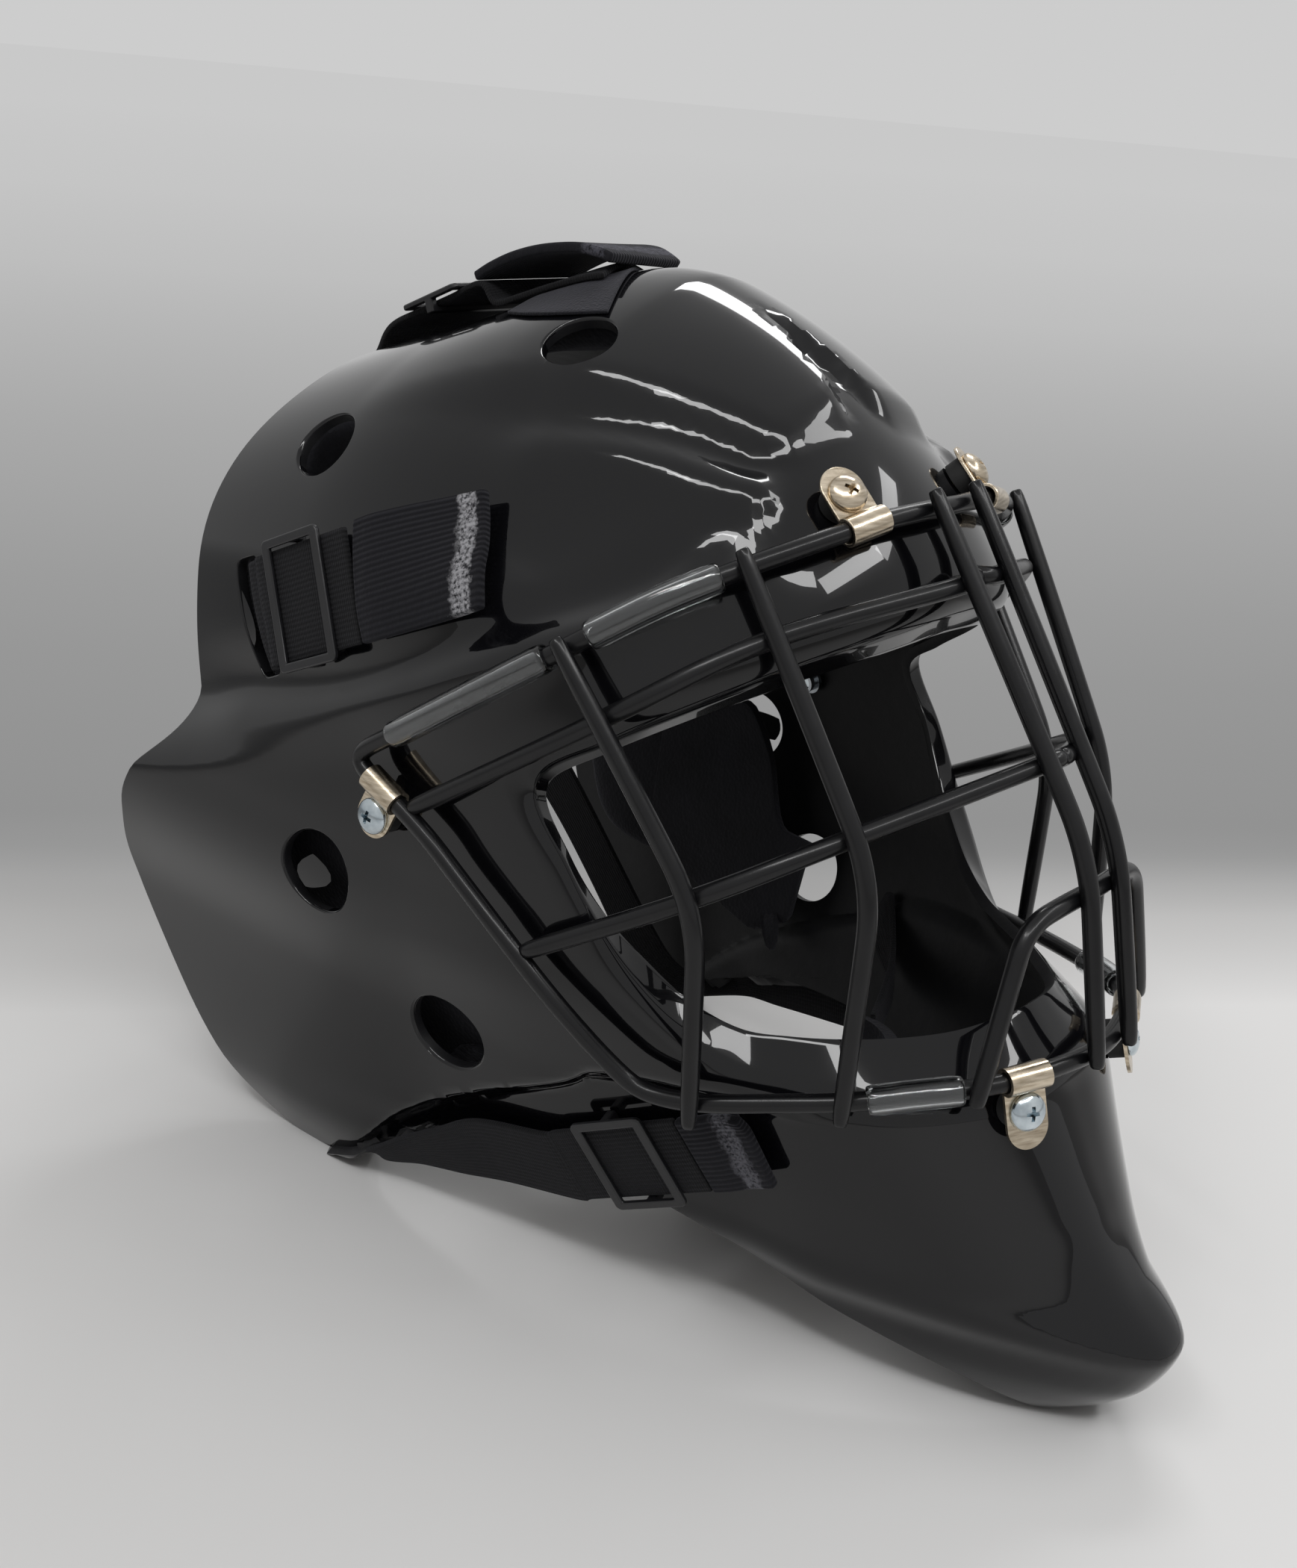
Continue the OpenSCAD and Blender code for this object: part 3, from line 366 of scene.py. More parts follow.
def move_to(shape, points):
    """Moves the points of a shape to places in millimetres."""
    for v, p in zip(shape.verts, points * MM):
        v.co = p


def merged(node):
    """A copy of a construction node's mesh with its doubles merged and its quads restored."""
    shape = bmesh.new()
    shape.from_mesh(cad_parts[node].data)
    bmesh.ops.remove_doubles(shape, verts=shape.verts, dist=2e-6)
    bmesh.ops.join_triangles(shape, faces=shape.faces, angle_face_threshold=math.radians(60),
                             angle_shape_threshold=math.radians(80))
    return shape


def paint(node, finish):
    """The construction node itself, with a better material."""
    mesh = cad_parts[node].data
    mesh.materials.clear()
    mesh.materials.append(finish.material)


# %% [markdown]
# ## The form
#
# The shell isn't a sphere: it is a rounded box section that changes up its height, with raised
# lobes over the crown, hollows at the temples, a shelf over the ears and a shallow recess for the
# jaw straps. The same short formulas as in the construction model give its surface, so the skin
# that is made here lies where the model says. Only the lobes, the ridge and groove beside them and
# the temple hollows are up to 2 mm bolder, because the eye reads the shape from their gloss lines.
# The formulas work on whole arrays of points.


# %% Curves through points
def ease(t):
    u = np.clip(t, 0, 1)
    return u * u * (3 - 2 * u)


def bell(t):
    return np.exp(-t * t)


def smooth_line(points, at):
    """A curve through (place, value) pairs that never overshoots."""
    xs, ys = np.array(points, float).T
    step = np.diff(xs)
    rise = np.diff(ys) / step
    slope = np.concatenate([[rise[0]], np.zeros(len(xs) - 2), [rise[-1]]])
    a, b = rise[:-1], rise[1:]
    same = a * b > 0
    slope[1:-1][same] = (2 * a * b)[same] / (a + b)[same]
    at = np.clip(at, xs[0], xs[-1])
    i = np.clip(np.searchsorted(xs, at, side="right") - 1, 0, len(xs) - 2)
    t = (at - xs[i]) / step[i]
    return ((2 * t**3 - 3 * t**2 + 1) * ys[i] + (t**3 - 2 * t**2 + t) * step[i] * slope[i]
            + (3 * t**2 - 2 * t**3) * ys[i + 1] + (t**3 - t**2) * step[i] * slope[i + 1])


def cubic(a, b, c, d, t):
    """The smooth run from b to c, where a comes before them and d after."""
    return 0.5 * (2 * b + (c - a) * t + (2 * a - 5 * b + 4 * c - d) * t**2
                  + (3 * b - 3 * c + d - a) * t**3)


def through(points, at, mirrored=True):
    """A smooth run through points; a mirrored one meets its other half at both ends."""
    P = np.array(points, float)
    flip = np.array([-1, 1, 1])
    first, last = (P[1] * flip, P[-2] * flip) if mirrored else (2 * P[0] - P[1], 2 * P[-1] - P[-2])
    Q = np.vstack([first, P, last])
    x = np.clip(at, 0, 1) * (len(P) - 1)
    i = np.minimum(x.astype(int), len(P) - 2)
    return cubic(Q[i], Q[i + 1], Q[i + 2], Q[i + 3], (x - i)[:, None])


# %% Numbers of the form, in millimetres
SPRING, RISE, FALL, LOBE = 165.0, 123.5, 36.5, 3.6
CROWN_Y, REACH, HALF = 40.0, 134.0, 98.0
HEART = np.array([0.0, 20.0, 90.0])
FRONT = [[-6, -150], [0, -160], [10, -172], [20, -180], [32, -184], [44, -171], [54, -163.5],
         [66, -156.5], [80, -149], [96, -141], [108, -135.5], [135, -116], [165, -94]]
JAW = [[-6, 79], [0, 83], [22, 91], [77, 97], [115, 105], [130, 103.5], [165, 99.5], [300, 99.5]]
POWER = [[-6, 1.3], [12, 1.3], [25, 1.3], [40, 1.45], [90, 1.88], [165, 2.2], [300, 1.68]]
SECTION = [[-6, 90], [90, 85], [165, 40], [300, 40]]
SHELF = [[-70, 246], [-30, 219], [-7, 205], [25, 185], [65, 168], [131, 150], [160, 143]]
RECESS = [[-105, 94], [-60, 90], [-38, 85], [-29, 78], [5, 58], [31, 40], [46, 26], [62, 8]]
Y_MID, WALL = 10.1, 3.4


# %% The form as a function
def form_value(q):
    x, y, z = q[..., 0], q[..., 1], q[..., 2]
    rear = ease((y - 20) / 60)
    below = ease((smooth_line(SHELF, y) - z) / (12 + 14 * ease((y - 20) / 100)))
    a0 = HALF - 2.5 * (np.maximum(0, y - CROWN_Y) / 90) ** 2
    a1 = smooth_line(JAW, z) + 0.08 * (y - 50) * ease((y + 20) / 80)
    a = a0 + (a1 - a0) * below
    e = 10 * (1 - ease((z - 90) / 60)) + 0.01
    xx = (np.sqrt(x * x + e * e) - e) * a / (np.sqrt(a * a + e * e) - e)
    low = z < SPRING
    yc = np.where(low, smooth_line(SECTION, z), CROWN_Y)
    yf = np.where(low, smooth_line(FRONT, z), CROWN_Y - REACH)
    n = smooth_line(POWER, z) + 0.4 * rear
    dy = np.maximum(0, yc - y) / (yc - yf)
    hr = RISE - FALL * (np.maximum(0, y - 12) / 116) ** 1.2
    tz = np.maximum(0, z - SPRING) / hr
    return (xx / a) ** n + dy**n + tz**n - 1


def relief(q):
    ax, y, z = np.abs(q[..., 0]), q[..., 1], q[..., 2]
    phi = np.degrees(np.arctan2(ax, z - SPRING))
    groove = 24.5 + (y + 37) * 0.172
    nose = -46.5 + 34 * bell(ax / 4.6) + 0.12 * np.maximum(0, phi - 18) ** 2
    up = ease((z - 205) / 30)
    lobe = LOBE * up * ease((groove + 1.5 - phi) / 8) * ease((y - nose + 2) / 12) * (1 - ease((y - 25) / 60))
    cut = -1.8 * bell((phi - groove - 1) / 4.0) * ease((y + 46) / 8) * (1 - ease((y - 10) / 45)) * up
    ridge = 2.2 * bell((phi - groove - 7.5) / 4.4) * ease((y + 52) / 8) * (1 - ease((y + 4) / 40)) * up
    hollow = -8.0 * bell((phi - 50) / 12) * bell((y + 2) / 34) * ease((y + 47) / 14)
    zs = smooth_line(SHELF, y)
    shelf = ((2.4 * bell((z - zs + 9) / 8) - 1.6 * bell((z - zs - 6) / 7))
             * (1 - ease((y - 95) / 40)) * ease((y + 52) / 20))
    brow = (1.6 * bell((phi - 31 - 0.6 * np.maximum(0, -43 - y)) / 5) * bell((y + 46) / 9)
            * (1 - ease((z - 246) / 8)))
    zr = smooth_line(RECESS, y)
    recess = -4.2 * ease((zr - z) / 7) * ease((y + 104) / 26) * (1 - ease((y - 48) / 14))
    return lobe + cut + ridge + hollow + shelf + brow + recess


def unit(v):
    return v / np.linalg.norm(v, axis=-1, keepdims=True)


def form_at(p):
    """The point of the form on the ray from its heart through p."""
    d = unit(np.asarray(p, float) - HEART)
    low, high = np.full(d.shape[:-1], 30.0), np.full(d.shape[:-1], 330.0)
    for _ in range(28):
        middle = (low + high) / 2
        outside = form_value(HEART + d * middle[..., None]) > 0
        high, low = np.where(outside, middle, high), np.where(outside, low, middle)
    q = HEART + d * ((low + high) / 2)[..., None]
    return q + d * relief(q)[..., None]


def real(p):
    """From the drawn place to the model's, still in millimetres."""
    return np.asarray(p, float) + np.array([0, Y_MID, 0])


def facing(p):
    """Outward direction of the form at the point that p looks through."""
    d = unit(np.asarray(p, float) - HEART)
    s = unit(np.cross(d, np.where(np.abs(d[..., 1:2]) > 0.9, [0.0, 0, 1], [0.0, 1, 0])))
    c = np.cross(s, d)
    q = form_at(p)
    n = unit(np.cross(form_at(q + s * 2) - form_at(q - s * 2), form_at(q + c * 2) - form_at(q - c * 2)))
    return np.where(np.sum(n * d, axis=-1, keepdims=True) > 0, n, -n)


def off(p, height):
    return real(form_at(p)) + facing(p) * height


def aim(p, keep):
    """Moves p until the form's point above it has the coordinates that keep marks with 1."""
    a = np.asarray(p, float)
    want = a.copy()
    for _ in range(3):
        a = a + (want - form_at(a)) * np.array(keep, float)
    return a


print("form at the crown:", real(form_at([0, 40, 300])).round(2))

# %% [markdown]
# ## The skin
#
# Three closed curves guide the skin: the lip of the face opening, the edge where it turns over
# onto the form, and the outer rim. A grid is made once and each of its points is moved to its
# place between these curves, which is far more even than cutting the opening out of a ball. Every
# third of a millimetre counts here, because a mirror finish shows each facet.

# %% Guide curves
LIP = [[0, -76, 206], [-20, -73.5, 204], [-42, -64, 198], [-62, -49, 188], [-77, -31, 175.5],
       [-85, -17, 163], [-84.5, -27, 146], [-80, -37.5, 131], [-75, -47.5, 121], [-69, -59, 111.5],
       [-62, -72, 106], [-54.5, -83.5, 106], [-46, -95, 107.2], [-36, -105.5, 108.7],
       [-26, -114.5, 111], [-16, -121, 114], [-7, -124, 115.6], [0, -124.5, 116]]
EDGE = [[0, -79, 212], [-21, -77, 210], [-44, -70, 205], [-66, -55, 194], [-82, -35, 180],
        [-91, -17, 165], [-89, -31, 144], [-86, -43, 127], [-83, -54, 114], [-79, -66, 103.5],
        [-73, -79, 95], [-65, -91, 92], [-55, -104, 93], [-44, -116, 95],
        [-32, -127.5, 98], [-20, -137, 101], [-9, -142.5, 103.3], [0, -144, 104]]
RIM = [[0, 128, 253], [-30, 126.5, 250.5], [-58, 123, 241], [-80, 124.5, 216.5], [-94, 128, 187],
       [-98, 130, 158], [-104, 131, 132], [-110, 146, 107], [-108, 155, 80], [-101, 135, 42],
       [-93, 107, 6.5], [-87, 82, -2.6], [-85, 46, 16], [-82, 0, 31],
       [-74, -54, 35], [-57, -97, 23], [-30, -138, 11], [0, -161, -2.4]]
# The curl of the edge reaches this far towards the rim. The flat of the lip and the curl end at the
# other two shares of a run from the lip to the rim.
TURN, FLAT_END, CURL_END = 0.06, 0.06, 0.16


def skin(s, t):
    """Point of the skin: s runs down half the opening, t from its lip to the rim."""
    lip, edge, rim = through(LIP, s), through(EDGE, s), through(RIM, s)
    k = form_at(edge)
    b = form_at(edge + (rim - edge) * TURN)
    a = lip + (k - lip) * 0.55
    flat = np.clip(t / FLAT_END, 0, 1)[:, None]
    curl = np.clip((t - FLAT_END) / 0.1, 0, 1)[:, None]
    out = np.clip((t - CURL_END) / 0.84, 0, 1)[:, None]
    inner = lip + (a - lip) * flat
    bend = a * (1 - curl) ** 2 + k * 2 * curl * (1 - curl) + b * curl**2
    shell = form_at(edge + (rim - edge) * (TURN + (1 - TURN) * out))
    return np.where(t[:, None] < FLAT_END, inner, np.where(t[:, None] < CURL_END, bend, shell))


# %% Skin of the shell
def make_skin(around, rows):
    shape, uv = unit_grid(around, rows)
    loop = uv[:, 0] * 2
    left = loop > 1
    s = np.where(left, 2 - loop, loop)
    # Rows crowd together where the lip curls over.
    t = np.interp(uv[:, 1], [0, 0.05, 0.22, 1], [0, FLAT_END, CURL_END, 1])
    points = real(skin(s, t))
    points[left, 0] *= -1
    move_to(shape, points)
    bmesh.ops.remove_doubles(shape, verts=shape.verts, dist=1e-6)
    bmesh.ops.recalc_face_normals(shape, faces=shape.faces)
    top = max(shape.faces, key=lambda f: f.calc_center_median().z)
    if top.normal.z < 0:
        bmesh.ops.reverse_faces(shape, faces=shape.faces)
    return shape


AROUND, ROWS = ((340, 122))
skin_piece = bare("skin", make_skin(AROUND, ROWS))
modify(skin_piece, "wall", "SOLIDIFY", thickness=WALL * MM, offset=-1)
bevel(skin_piece, 0.0011, 3, 50)
settle(skin_piece)
print("skin has", len(skin_piece.data.polygons), "faces")

# %% [markdown]
# ## Holes in the shell
#
# The vents, the strap slots and the screw holes are cut with tools that follow the surface. Each
# tool is a tube whose mouth flares, so the cut leaves the small rounded brim that catches the light
# on the real mask.


# %% Cutting tools
def outline_points(place, along, half_x, half_y, corner, count):
    """Points of a rounded outline on the form round a place, and the ways out and apart there."""
    o, n = form_at(place), facing(place)
    x = unit(along - n * (along @ n))
    y = np.cross(n, x)
    angle = np.linspace(0, 2 * np.pi, count, endpoint=False)
    power = 2 / corner
    cx = np.sign(np.cos(angle)) * np.abs(np.cos(angle)) ** power
    cy = np.sign(np.sin(angle)) * np.abs(np.sin(angle)) ** power
    flat = np.outer(cx * half_x, x) + np.outer(cy * half_y, y)
    return real(form_at(o + flat)), n, unit(flat)


TOOL_PAST, TOOL_ABOVE = 7, 0.9


def tool(place, along, half_x, half_y, corner=2.0, count=72, brim=1.1):
    base, n, away = outline_points(place, np.array(along, float), half_x, half_y, corner, count)
    rings = [(-WALL - TOOL_PAST, 0.0), (-WALL - 0.2, 0.0), (-brim, 0.0)]
    for a in (20, 40, 60, 75):
        rings.append((-brim + brim * math.sin(math.radians(a)), brim * (1 - math.cos(math.radians(a)))))
    rings.append((TOOL_ABOVE, brim * 1.1))
    shape = bmesh.new()
    loops = []
    for height, wide in rings:
        ring = [shape.verts.new(tuple(q)) for q in (base + n * height + away * wide) * MM]
        loops.append([shape.edges.new((ring[i], ring[(i + 1) % count])) for i in range(count)])
    bmesh.ops.bridge_loops(shape, edges=[e for loop in loops for e in loop], use_pairs=False)
    bmesh.ops.holes_fill(shape, edges=loops[0] + loops[-1])
    bmesh.ops.recalc_face_normals(shape, faces=shape.faces)
    return shape


# Each vent: a place, the direction it runs in, its length, and its width as a share of that.
VENTS = [([-45.4, 20, 269.5], [0.35, -0.9, 0.25], 21, 0.9),
         ([-79.6, 85.5, 233.6], [0.2, -0.9, 0.35], 22, 0.92),
         ([-105, 56, 116], [0, -1, 0.2], 27, 0.94), ([-91, 13, 75], [0, -1, 0.3], 27, 0.92)]
SCREWS = [[-27.6, -57.7, 239.8], [-99.9, 28.9, 143.2], [-25.4, -135.9, 98.2]]
STRAP_RUN, JAW_RUN = np.array([0, -0.905, 0.425]), np.array([0.14, -0.86, 0.49])
SIDE_SLOT = [-95, 95.5, 181]

tools = bmesh.new()


def add_tool(shape):
    """Joins a tool and its mirror image on the wearer's left to the set."""
    for side in (1, -1):
        mesh = bpy.data.meshes.new("tool")
        shape.to_mesh(mesh)
        if side < 0:
            mesh.transform(Matrix.Scale(-1, 4, (1, 0, 0)))
            mesh.flip_normals()
        tools.from_mesh(mesh)
        bpy.data.meshes.remove(mesh)
    shape.free()


for place, along, length, share in VENTS:
    add_tool(tool(place, along, length / 2, length * share / 2))
add_tool(tool(SIDE_SLOT, STRAP_RUN, 6, 17.5, corner=5, count=96, brim=0.8))
for place in SCREWS:
    add_tool(tool(place, [1, 0, 0], 2.8, 2.8, count=32, brim=0.3))
print("cutting tools have", len(tools.faces), "faces")

# %% Cut the shell
cutter = bare("cutter", tools)
modify(skin_piece, "cut", "BOOLEAN", solver="MANIFOLD", object=cutter)
before = len(skin_piece.data.polygons)
settle(skin_piece)
bpy.data.objects.remove(cutter)
print("shell went from", before, "to", len(skin_piece.data.polygons), "faces")

# %% [markdown]
# Only the outside is polished. The inside keeps the dull surface of the laminate, so its faces,
# which look towards the middle of the head, get a second material. A gloss shows every bend between
# faces, so the outside takes its normals from the formulas themselves.


# %% Normals from the formulas
ON_FORM, ALIKE = 0.05, 0.94


def exact_normals(thing):
    """Gives each corner on the polished outside the direction that the form has there."""
    mesh = thing.data
    places = np.array([v.co for v in mesh.vertices]) / MM - np.array([0, Y_MID, 0])
    near = np.linalg.norm(form_at(places) - places, axis=1) < ON_FORM
    exact = np.zeros_like(places)
    exact[near] = facing(places[near])
    corners = np.array([c.vector for c in mesh.corner_normals])
    owner = np.array([loop.vertex_index for loop in mesh.loops])
    alike = np.sum(exact[owner] * corners, axis=1) > ALIKE
    corners[alike] = exact[owner[alike]]
    mesh.normals_split_custom_set(corners.tolist())
    print(round(float(alike.mean()), 2), "of the shell's corners follow the formulas")


# %% Finish the shell
inside = Finish("shell_inside", Roughness=0.5, IOR=1.5, Specular_IOR_Level=0.3)
inside.vary("Base Color", inside.noise(50.0, 5.0), [(0.3, "#08080A"), (0.75, "#121215")])
inside.bump(inside.noise(220.0, 3.0), "Fac", 0.0003, 0.5)
shape = bmesh.new()
shape.from_mesh(skin_piece.data)
bpy.data.objects.remove(skin_piece)
shell = piece("shell_skin", shape, lacquer, "mask", ["shell"])
shell.data.set_sharp_from_angle(angle=math.radians(38))
shell.data.materials.append(inside.material)
HEAD_MIDDLE = Vector((0, 0.03, 0.11))
for polygon in shell.data.polygons:
    if polygon.normal.dot(polygon.center - HEAD_MIDDLE) < 0:
        polygon.material_index = 1
exact_normals(shell)
print("shell has", sum(len(p.vertices) - 2 for p in shell.data.polygons), "triangles")

# %% [markdown]
# ## The cage
#
# The cage is 5 mm steel wire, welded and then dipped in a thick coating that rounds every cut end.
# The construction wires are ten-sided, so a copy of each one gets its quads back and two levels of
# subdivision. Subdivision pulls a tube in a little, so its points first step out by as much.

# %% Wires and sleeves
WIRES = ["cage_perimeter", "brow_wire", "mid_wire", "mouth_hoop", "bar_outer_r", "bar_outer_l",
         "bar_inner_r", "bar_inner_l", "bar_center_r", "bar_center_l"]


def swell(shape, amount):
    shape.normal_update()
    for v in shape.verts:
        v.co += v.normal * amount
    return shape


for name in WIRES:
    piece(name + "_coated", swell(merged(name), 0.00012), coated, "mask", [name], levels=2)
for name in ("sleeve_side", "sleeve_brow", "sleeve_chin"):
    for side in SIDES:
        piece(name + side + "_clear", merged(name + side), vinyl, "mask",
              [name + side], levels=2)
print("cage has", len(WIRES), "wires")

# %% [markdown]
# ## Clips and screws
#
# Each clip is a nickel strip wrapped over the loop wire and screwed through a rubber spacer. The
# strips keep their construction shape, with a fine bevel that gives the metal its bright edges.


# %% Clips, spacers and nuts
def rounded_copy(node, name, finish, body, width, segments=2, angle=35):
    made = piece(name, merged(node), finish, body, [node])
    made.data.set_sharp_from_angle(angle=math.radians(angle))
    bevel(made, width, segments, angle)


for spot in ("brow", "side", "chin"):
    for side in SIDES:
        clip = "clip_" + spot + side
        rounded_copy(clip, clip + "_plated", nickel, "mask", 0.00022)
paint("rubber_spacers", rubber)
paint("tee_nuts", dull_zinc)

# %% [markdown]
# The screws have domed heads with a cross recess. A half profile is spun round to make the dome,
# the neck and the thread, and a tapered cross is cut out of its top.

# %% Screws
HEAD_R, HEAD_H, NECK_R, HEAD_FOOT = 5.2, 3.2, 2.5, 5.9


def screw_blank():
    shape = bmesh.new()
    profile = [(0.0, HEAD_H)]
    for a in range(8, 75, 7):
        profile.append((HEAD_R * math.sin(math.radians(a)) * 1.02,
                        HEAD_H * 0.3 + HEAD_H * 0.7 * math.cos(math.radians(a * 1.16))))
    profile += [(HEAD_R, 0.75), (HEAD_R, 0.25), (HEAD_R - 0.3, 0.0), (NECK_R, 0.0)]
    z = -0.4
    while z > -12.5:
        profile += [(NECK_R, z), (NECK_R - 0.35, z - 0.35)]
        z -= 0.8
    profile += [(NECK_R - 0.4, -13.6), (0.0, -13.8)]
    points = [shape.verts.new((r, 0, h)) for r, h in profile]
    line = [shape.edges.new(pair) for pair in zip(points, points[1:])]
    bmesh.ops.spin(shape, geom=points + line, cent=(0, 0, 0), axis=(0, 0, 1), dvec=(0, 0, 0),
                   angle=2 * math.pi, steps=48, use_merge=True)
    bmesh.ops.remove_doubles(shape, verts=shape.verts, dist=1e-4)
    bmesh.ops.recalc_face_normals(shape, faces=shape.faces)
    return shape


def cross_tool():
    """A cross with twelve corners that narrows downward."""
    shape = bmesh.new()
    rings = []
    for reach, half, z in ((0.8, 0.36, HEAD_H - 2.3), (2.5, 0.62, HEAD_H + 0.8)):
        corners = []
        for turn in range(4):
            c, d = math.cos(math.pi / 2 * turn), math.sin(math.pi / 2 * turn)
            for u, v in ((half, -half), (reach, -half), (reach, half)):
                corners.append(shape.verts.new((u * c - v * d, u * d + v * c, z)))
        rings.append(corners)
    low, high = rings
    shape.faces.new(low[::-1])
    shape.faces.new(high)
    for i in range(12):
        j = (i + 1) % 12
        shape.faces.new((low[i], low[j], high[j], high[i]))
    bmesh.ops.recalc_face_normals(shape, faces=shape.faces)
    return shape


blank = bare("blank", screw_blank())
cross = bare("cross", cross_tool())
modify(blank, "cross", "BOOLEAN", solver="MANIFOLD", object=cross)
settle(blank)
print("a screw has", len(blank.data.polygons), "faces")
bpy.data.objects.remove(cross)
for label, place, finish, roll in zip(("brow", "side", "chin"), SCREWS, (nickel, zinc, zinc), (30, 12, 4)):
    o, n = real(form_at(place)), facing(place)
    y = unit(np.array([0, 0, 1]) - n * n[2])
    stand = Matrix(np.column_stack([np.cross(y, n), y, n]).tolist()).to_4x4()
    stand = Matrix.Translation(Vector((o + n * HEAD_FOOT) * MM)) @ stand @ Matrix.Scale(MM, 4)
    for side in (-1, 1):
        shape = bmesh.new()
        shape.from_mesh(blank.data)
        turn = Matrix.Rotation(math.radians(roll * side), 4, "Z")
        shape.transform(stand @ turn)
        if side > 0:
            shape.transform(Matrix.Scale(-1, 4, (1, 0, 0)))
            bmesh.ops.reverse_faces(shape, faces=shape.faces)
        made = piece("screw_" + label + ("_l" if side > 0 else "_r"), shape, finish, "mask",
                     ["clip_screws"])
        made.data.set_sharp_from_angle(angle=math.radians(32))
bpy.data.objects.remove(blank)
print("six screws are in")

# %% [markdown]
# ## Straps
#
# A strap is a ribbon that is led through rows of five points. Some rows lie on the form, some are
# flat inside a slide, and some hang free behind the shell. A grid is moved onto the smooth surface
# through all the rows, gets its UV in metres, and then its thickness.

# %% Rows of points across a strap
LANES = np.array([-1, -0.5, 0, 0.5, 1])[:, None]
STRAP_W, JAW_W, TOP_W, STRAP_T, TAIL_T = 32.0, 25.0, 44.0, 1.8, 3.0
FLAT_H, REACH_S, LAY, LAY_2 = 3.3, 22.5, 1.3, 2.65
FLANK, ABOVE = (0, 1, 1), (1, 1, 0)
SIDE_P, JAW_P = np.array([-93.5, 68, 194]), np.array([-69.4, -46.4, 56])
ACROSS_SIDE = np.cross([-1, 0, 0], STRAP_RUN)
ACROSS_JAW = unit(np.cross([-0.93, -0.33, -0.15], JAW_RUN))


def row_on(p, across, width, height, keep):
    return off(aim(np.asarray(p, float) + np.asarray(across) * LANES * width / 2, keep), height)


def row_free(p, across, width):
    return real(p) + np.asarray(across, float) * LANES * width / 2


def slide_frame(p, along):
    z = facing(p)
    x = unit(along - z * (along @ z))
    return real(form_at(p)), x, np.cross(z, x), z


def row_flat(f, t, height, width):
    return f[0] + f[1] * t + f[3] * height + f[2] * LANES * width / 2


def row_between(upper, lower):
    u, l = real(upper), real(lower)
    return u + (l - u) * (0.5 + LANES / 2)


def row_skew(y, turn, width, height):
    return off(aim(np.hstack([-LANES * width / 2, y - LANES * turn, LANES * 0 + 280]), ABOVE), height)


SIDE_F = slide_frame(aim(SIDE_P, FLANK), STRAP_RUN)
JAW_F = slide_frame(aim(JAW_P, FLANK), JAW_RUN)
TOP_Z = np.array([0, 0.4, 0.92]) / np.hypot(0.4, 0.92)
TOP_X = np.array([0, -0.92, 0.4]) / np.hypot(0.4, 0.92)
TOP_F = (real([0, 104.5, 264.5]), TOP_X, np.array([-1.0, 0, 0]), TOP_Z)
print("side slide stands at", SIDE_F[0].round(2), "and the jaw slide at", JAW_F[0].round(2))


# %% Ribbons
def grid_on(rows, u, v):
    """Smooth surface through rows of five points, at u across and v along, both 0 to 1."""
    lanes = np.stack([through(rows[:, k], v, False) for k in range(5)])
    padded = np.concatenate([2 * lanes[:1] - lanes[1:2], lanes, 2 * lanes[-1:] - lanes[-2:-1]])
    x = np.clip(u, 0, 1) * 4
    i = np.minimum(x.astype(int), 3)
    n = np.arange(len(u))
    return cubic(padded[i, n], padded[i + 1, n], padded[i + 2, n], padded[i + 3, n], (x - i)[:, None])


def ribbon(name, rows, thick, finish, body, stands_for, left=False, fine=1.6, shift=0.0):
    rows = np.array(rows)
    middle = rows[:, 2]
    run = np.concatenate([[0], np.cumsum(np.linalg.norm(np.diff(middle, axis=0), axis=1))])
    width = np.linalg.norm(rows[0, 4] - rows[0, 0])
    shape, flat = unit_grid(max(8, int(width / fine)), max(8, int(run[-1] / fine)))
    share = np.interp(flat[:, 1] * run[-1], run, np.linspace(0, 1, len(run)))
    points = grid_on(rows, flat[:, 0], share)
    if left:
        points = points * np.array([-1, 1, 1])
    layer = shape.loops.layers.uv.new("weave")
    for face in shape.faces:
        for corner in face.loops:
            i = corner.vert.index
            corner[layer].uv = (flat[i, 0] * width * MM, flat[i, 1] * run[-1] * MM)
    move_to(shape, points)
    if left:
        bmesh.ops.reverse_faces(shape, faces=shape.faces)
    shape.normal_update()
    out = Vector((points.mean(0) - np.array([0, 30, 110])).tolist())
    if sum((f.normal for f in shape.faces), Vector()).dot(out) < 0:
        bmesh.ops.reverse_faces(shape, faces=shape.faces)
    made = piece(name, shape, finish, None, stands_for)
    modify(made, "thickness", "SOLIDIFY", thickness=thick * MM, offset=shift)
    bevel(made, thick * MM * 0.28, 2, 45)
    settle(made)
    if body:
        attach(made, body)
    return made


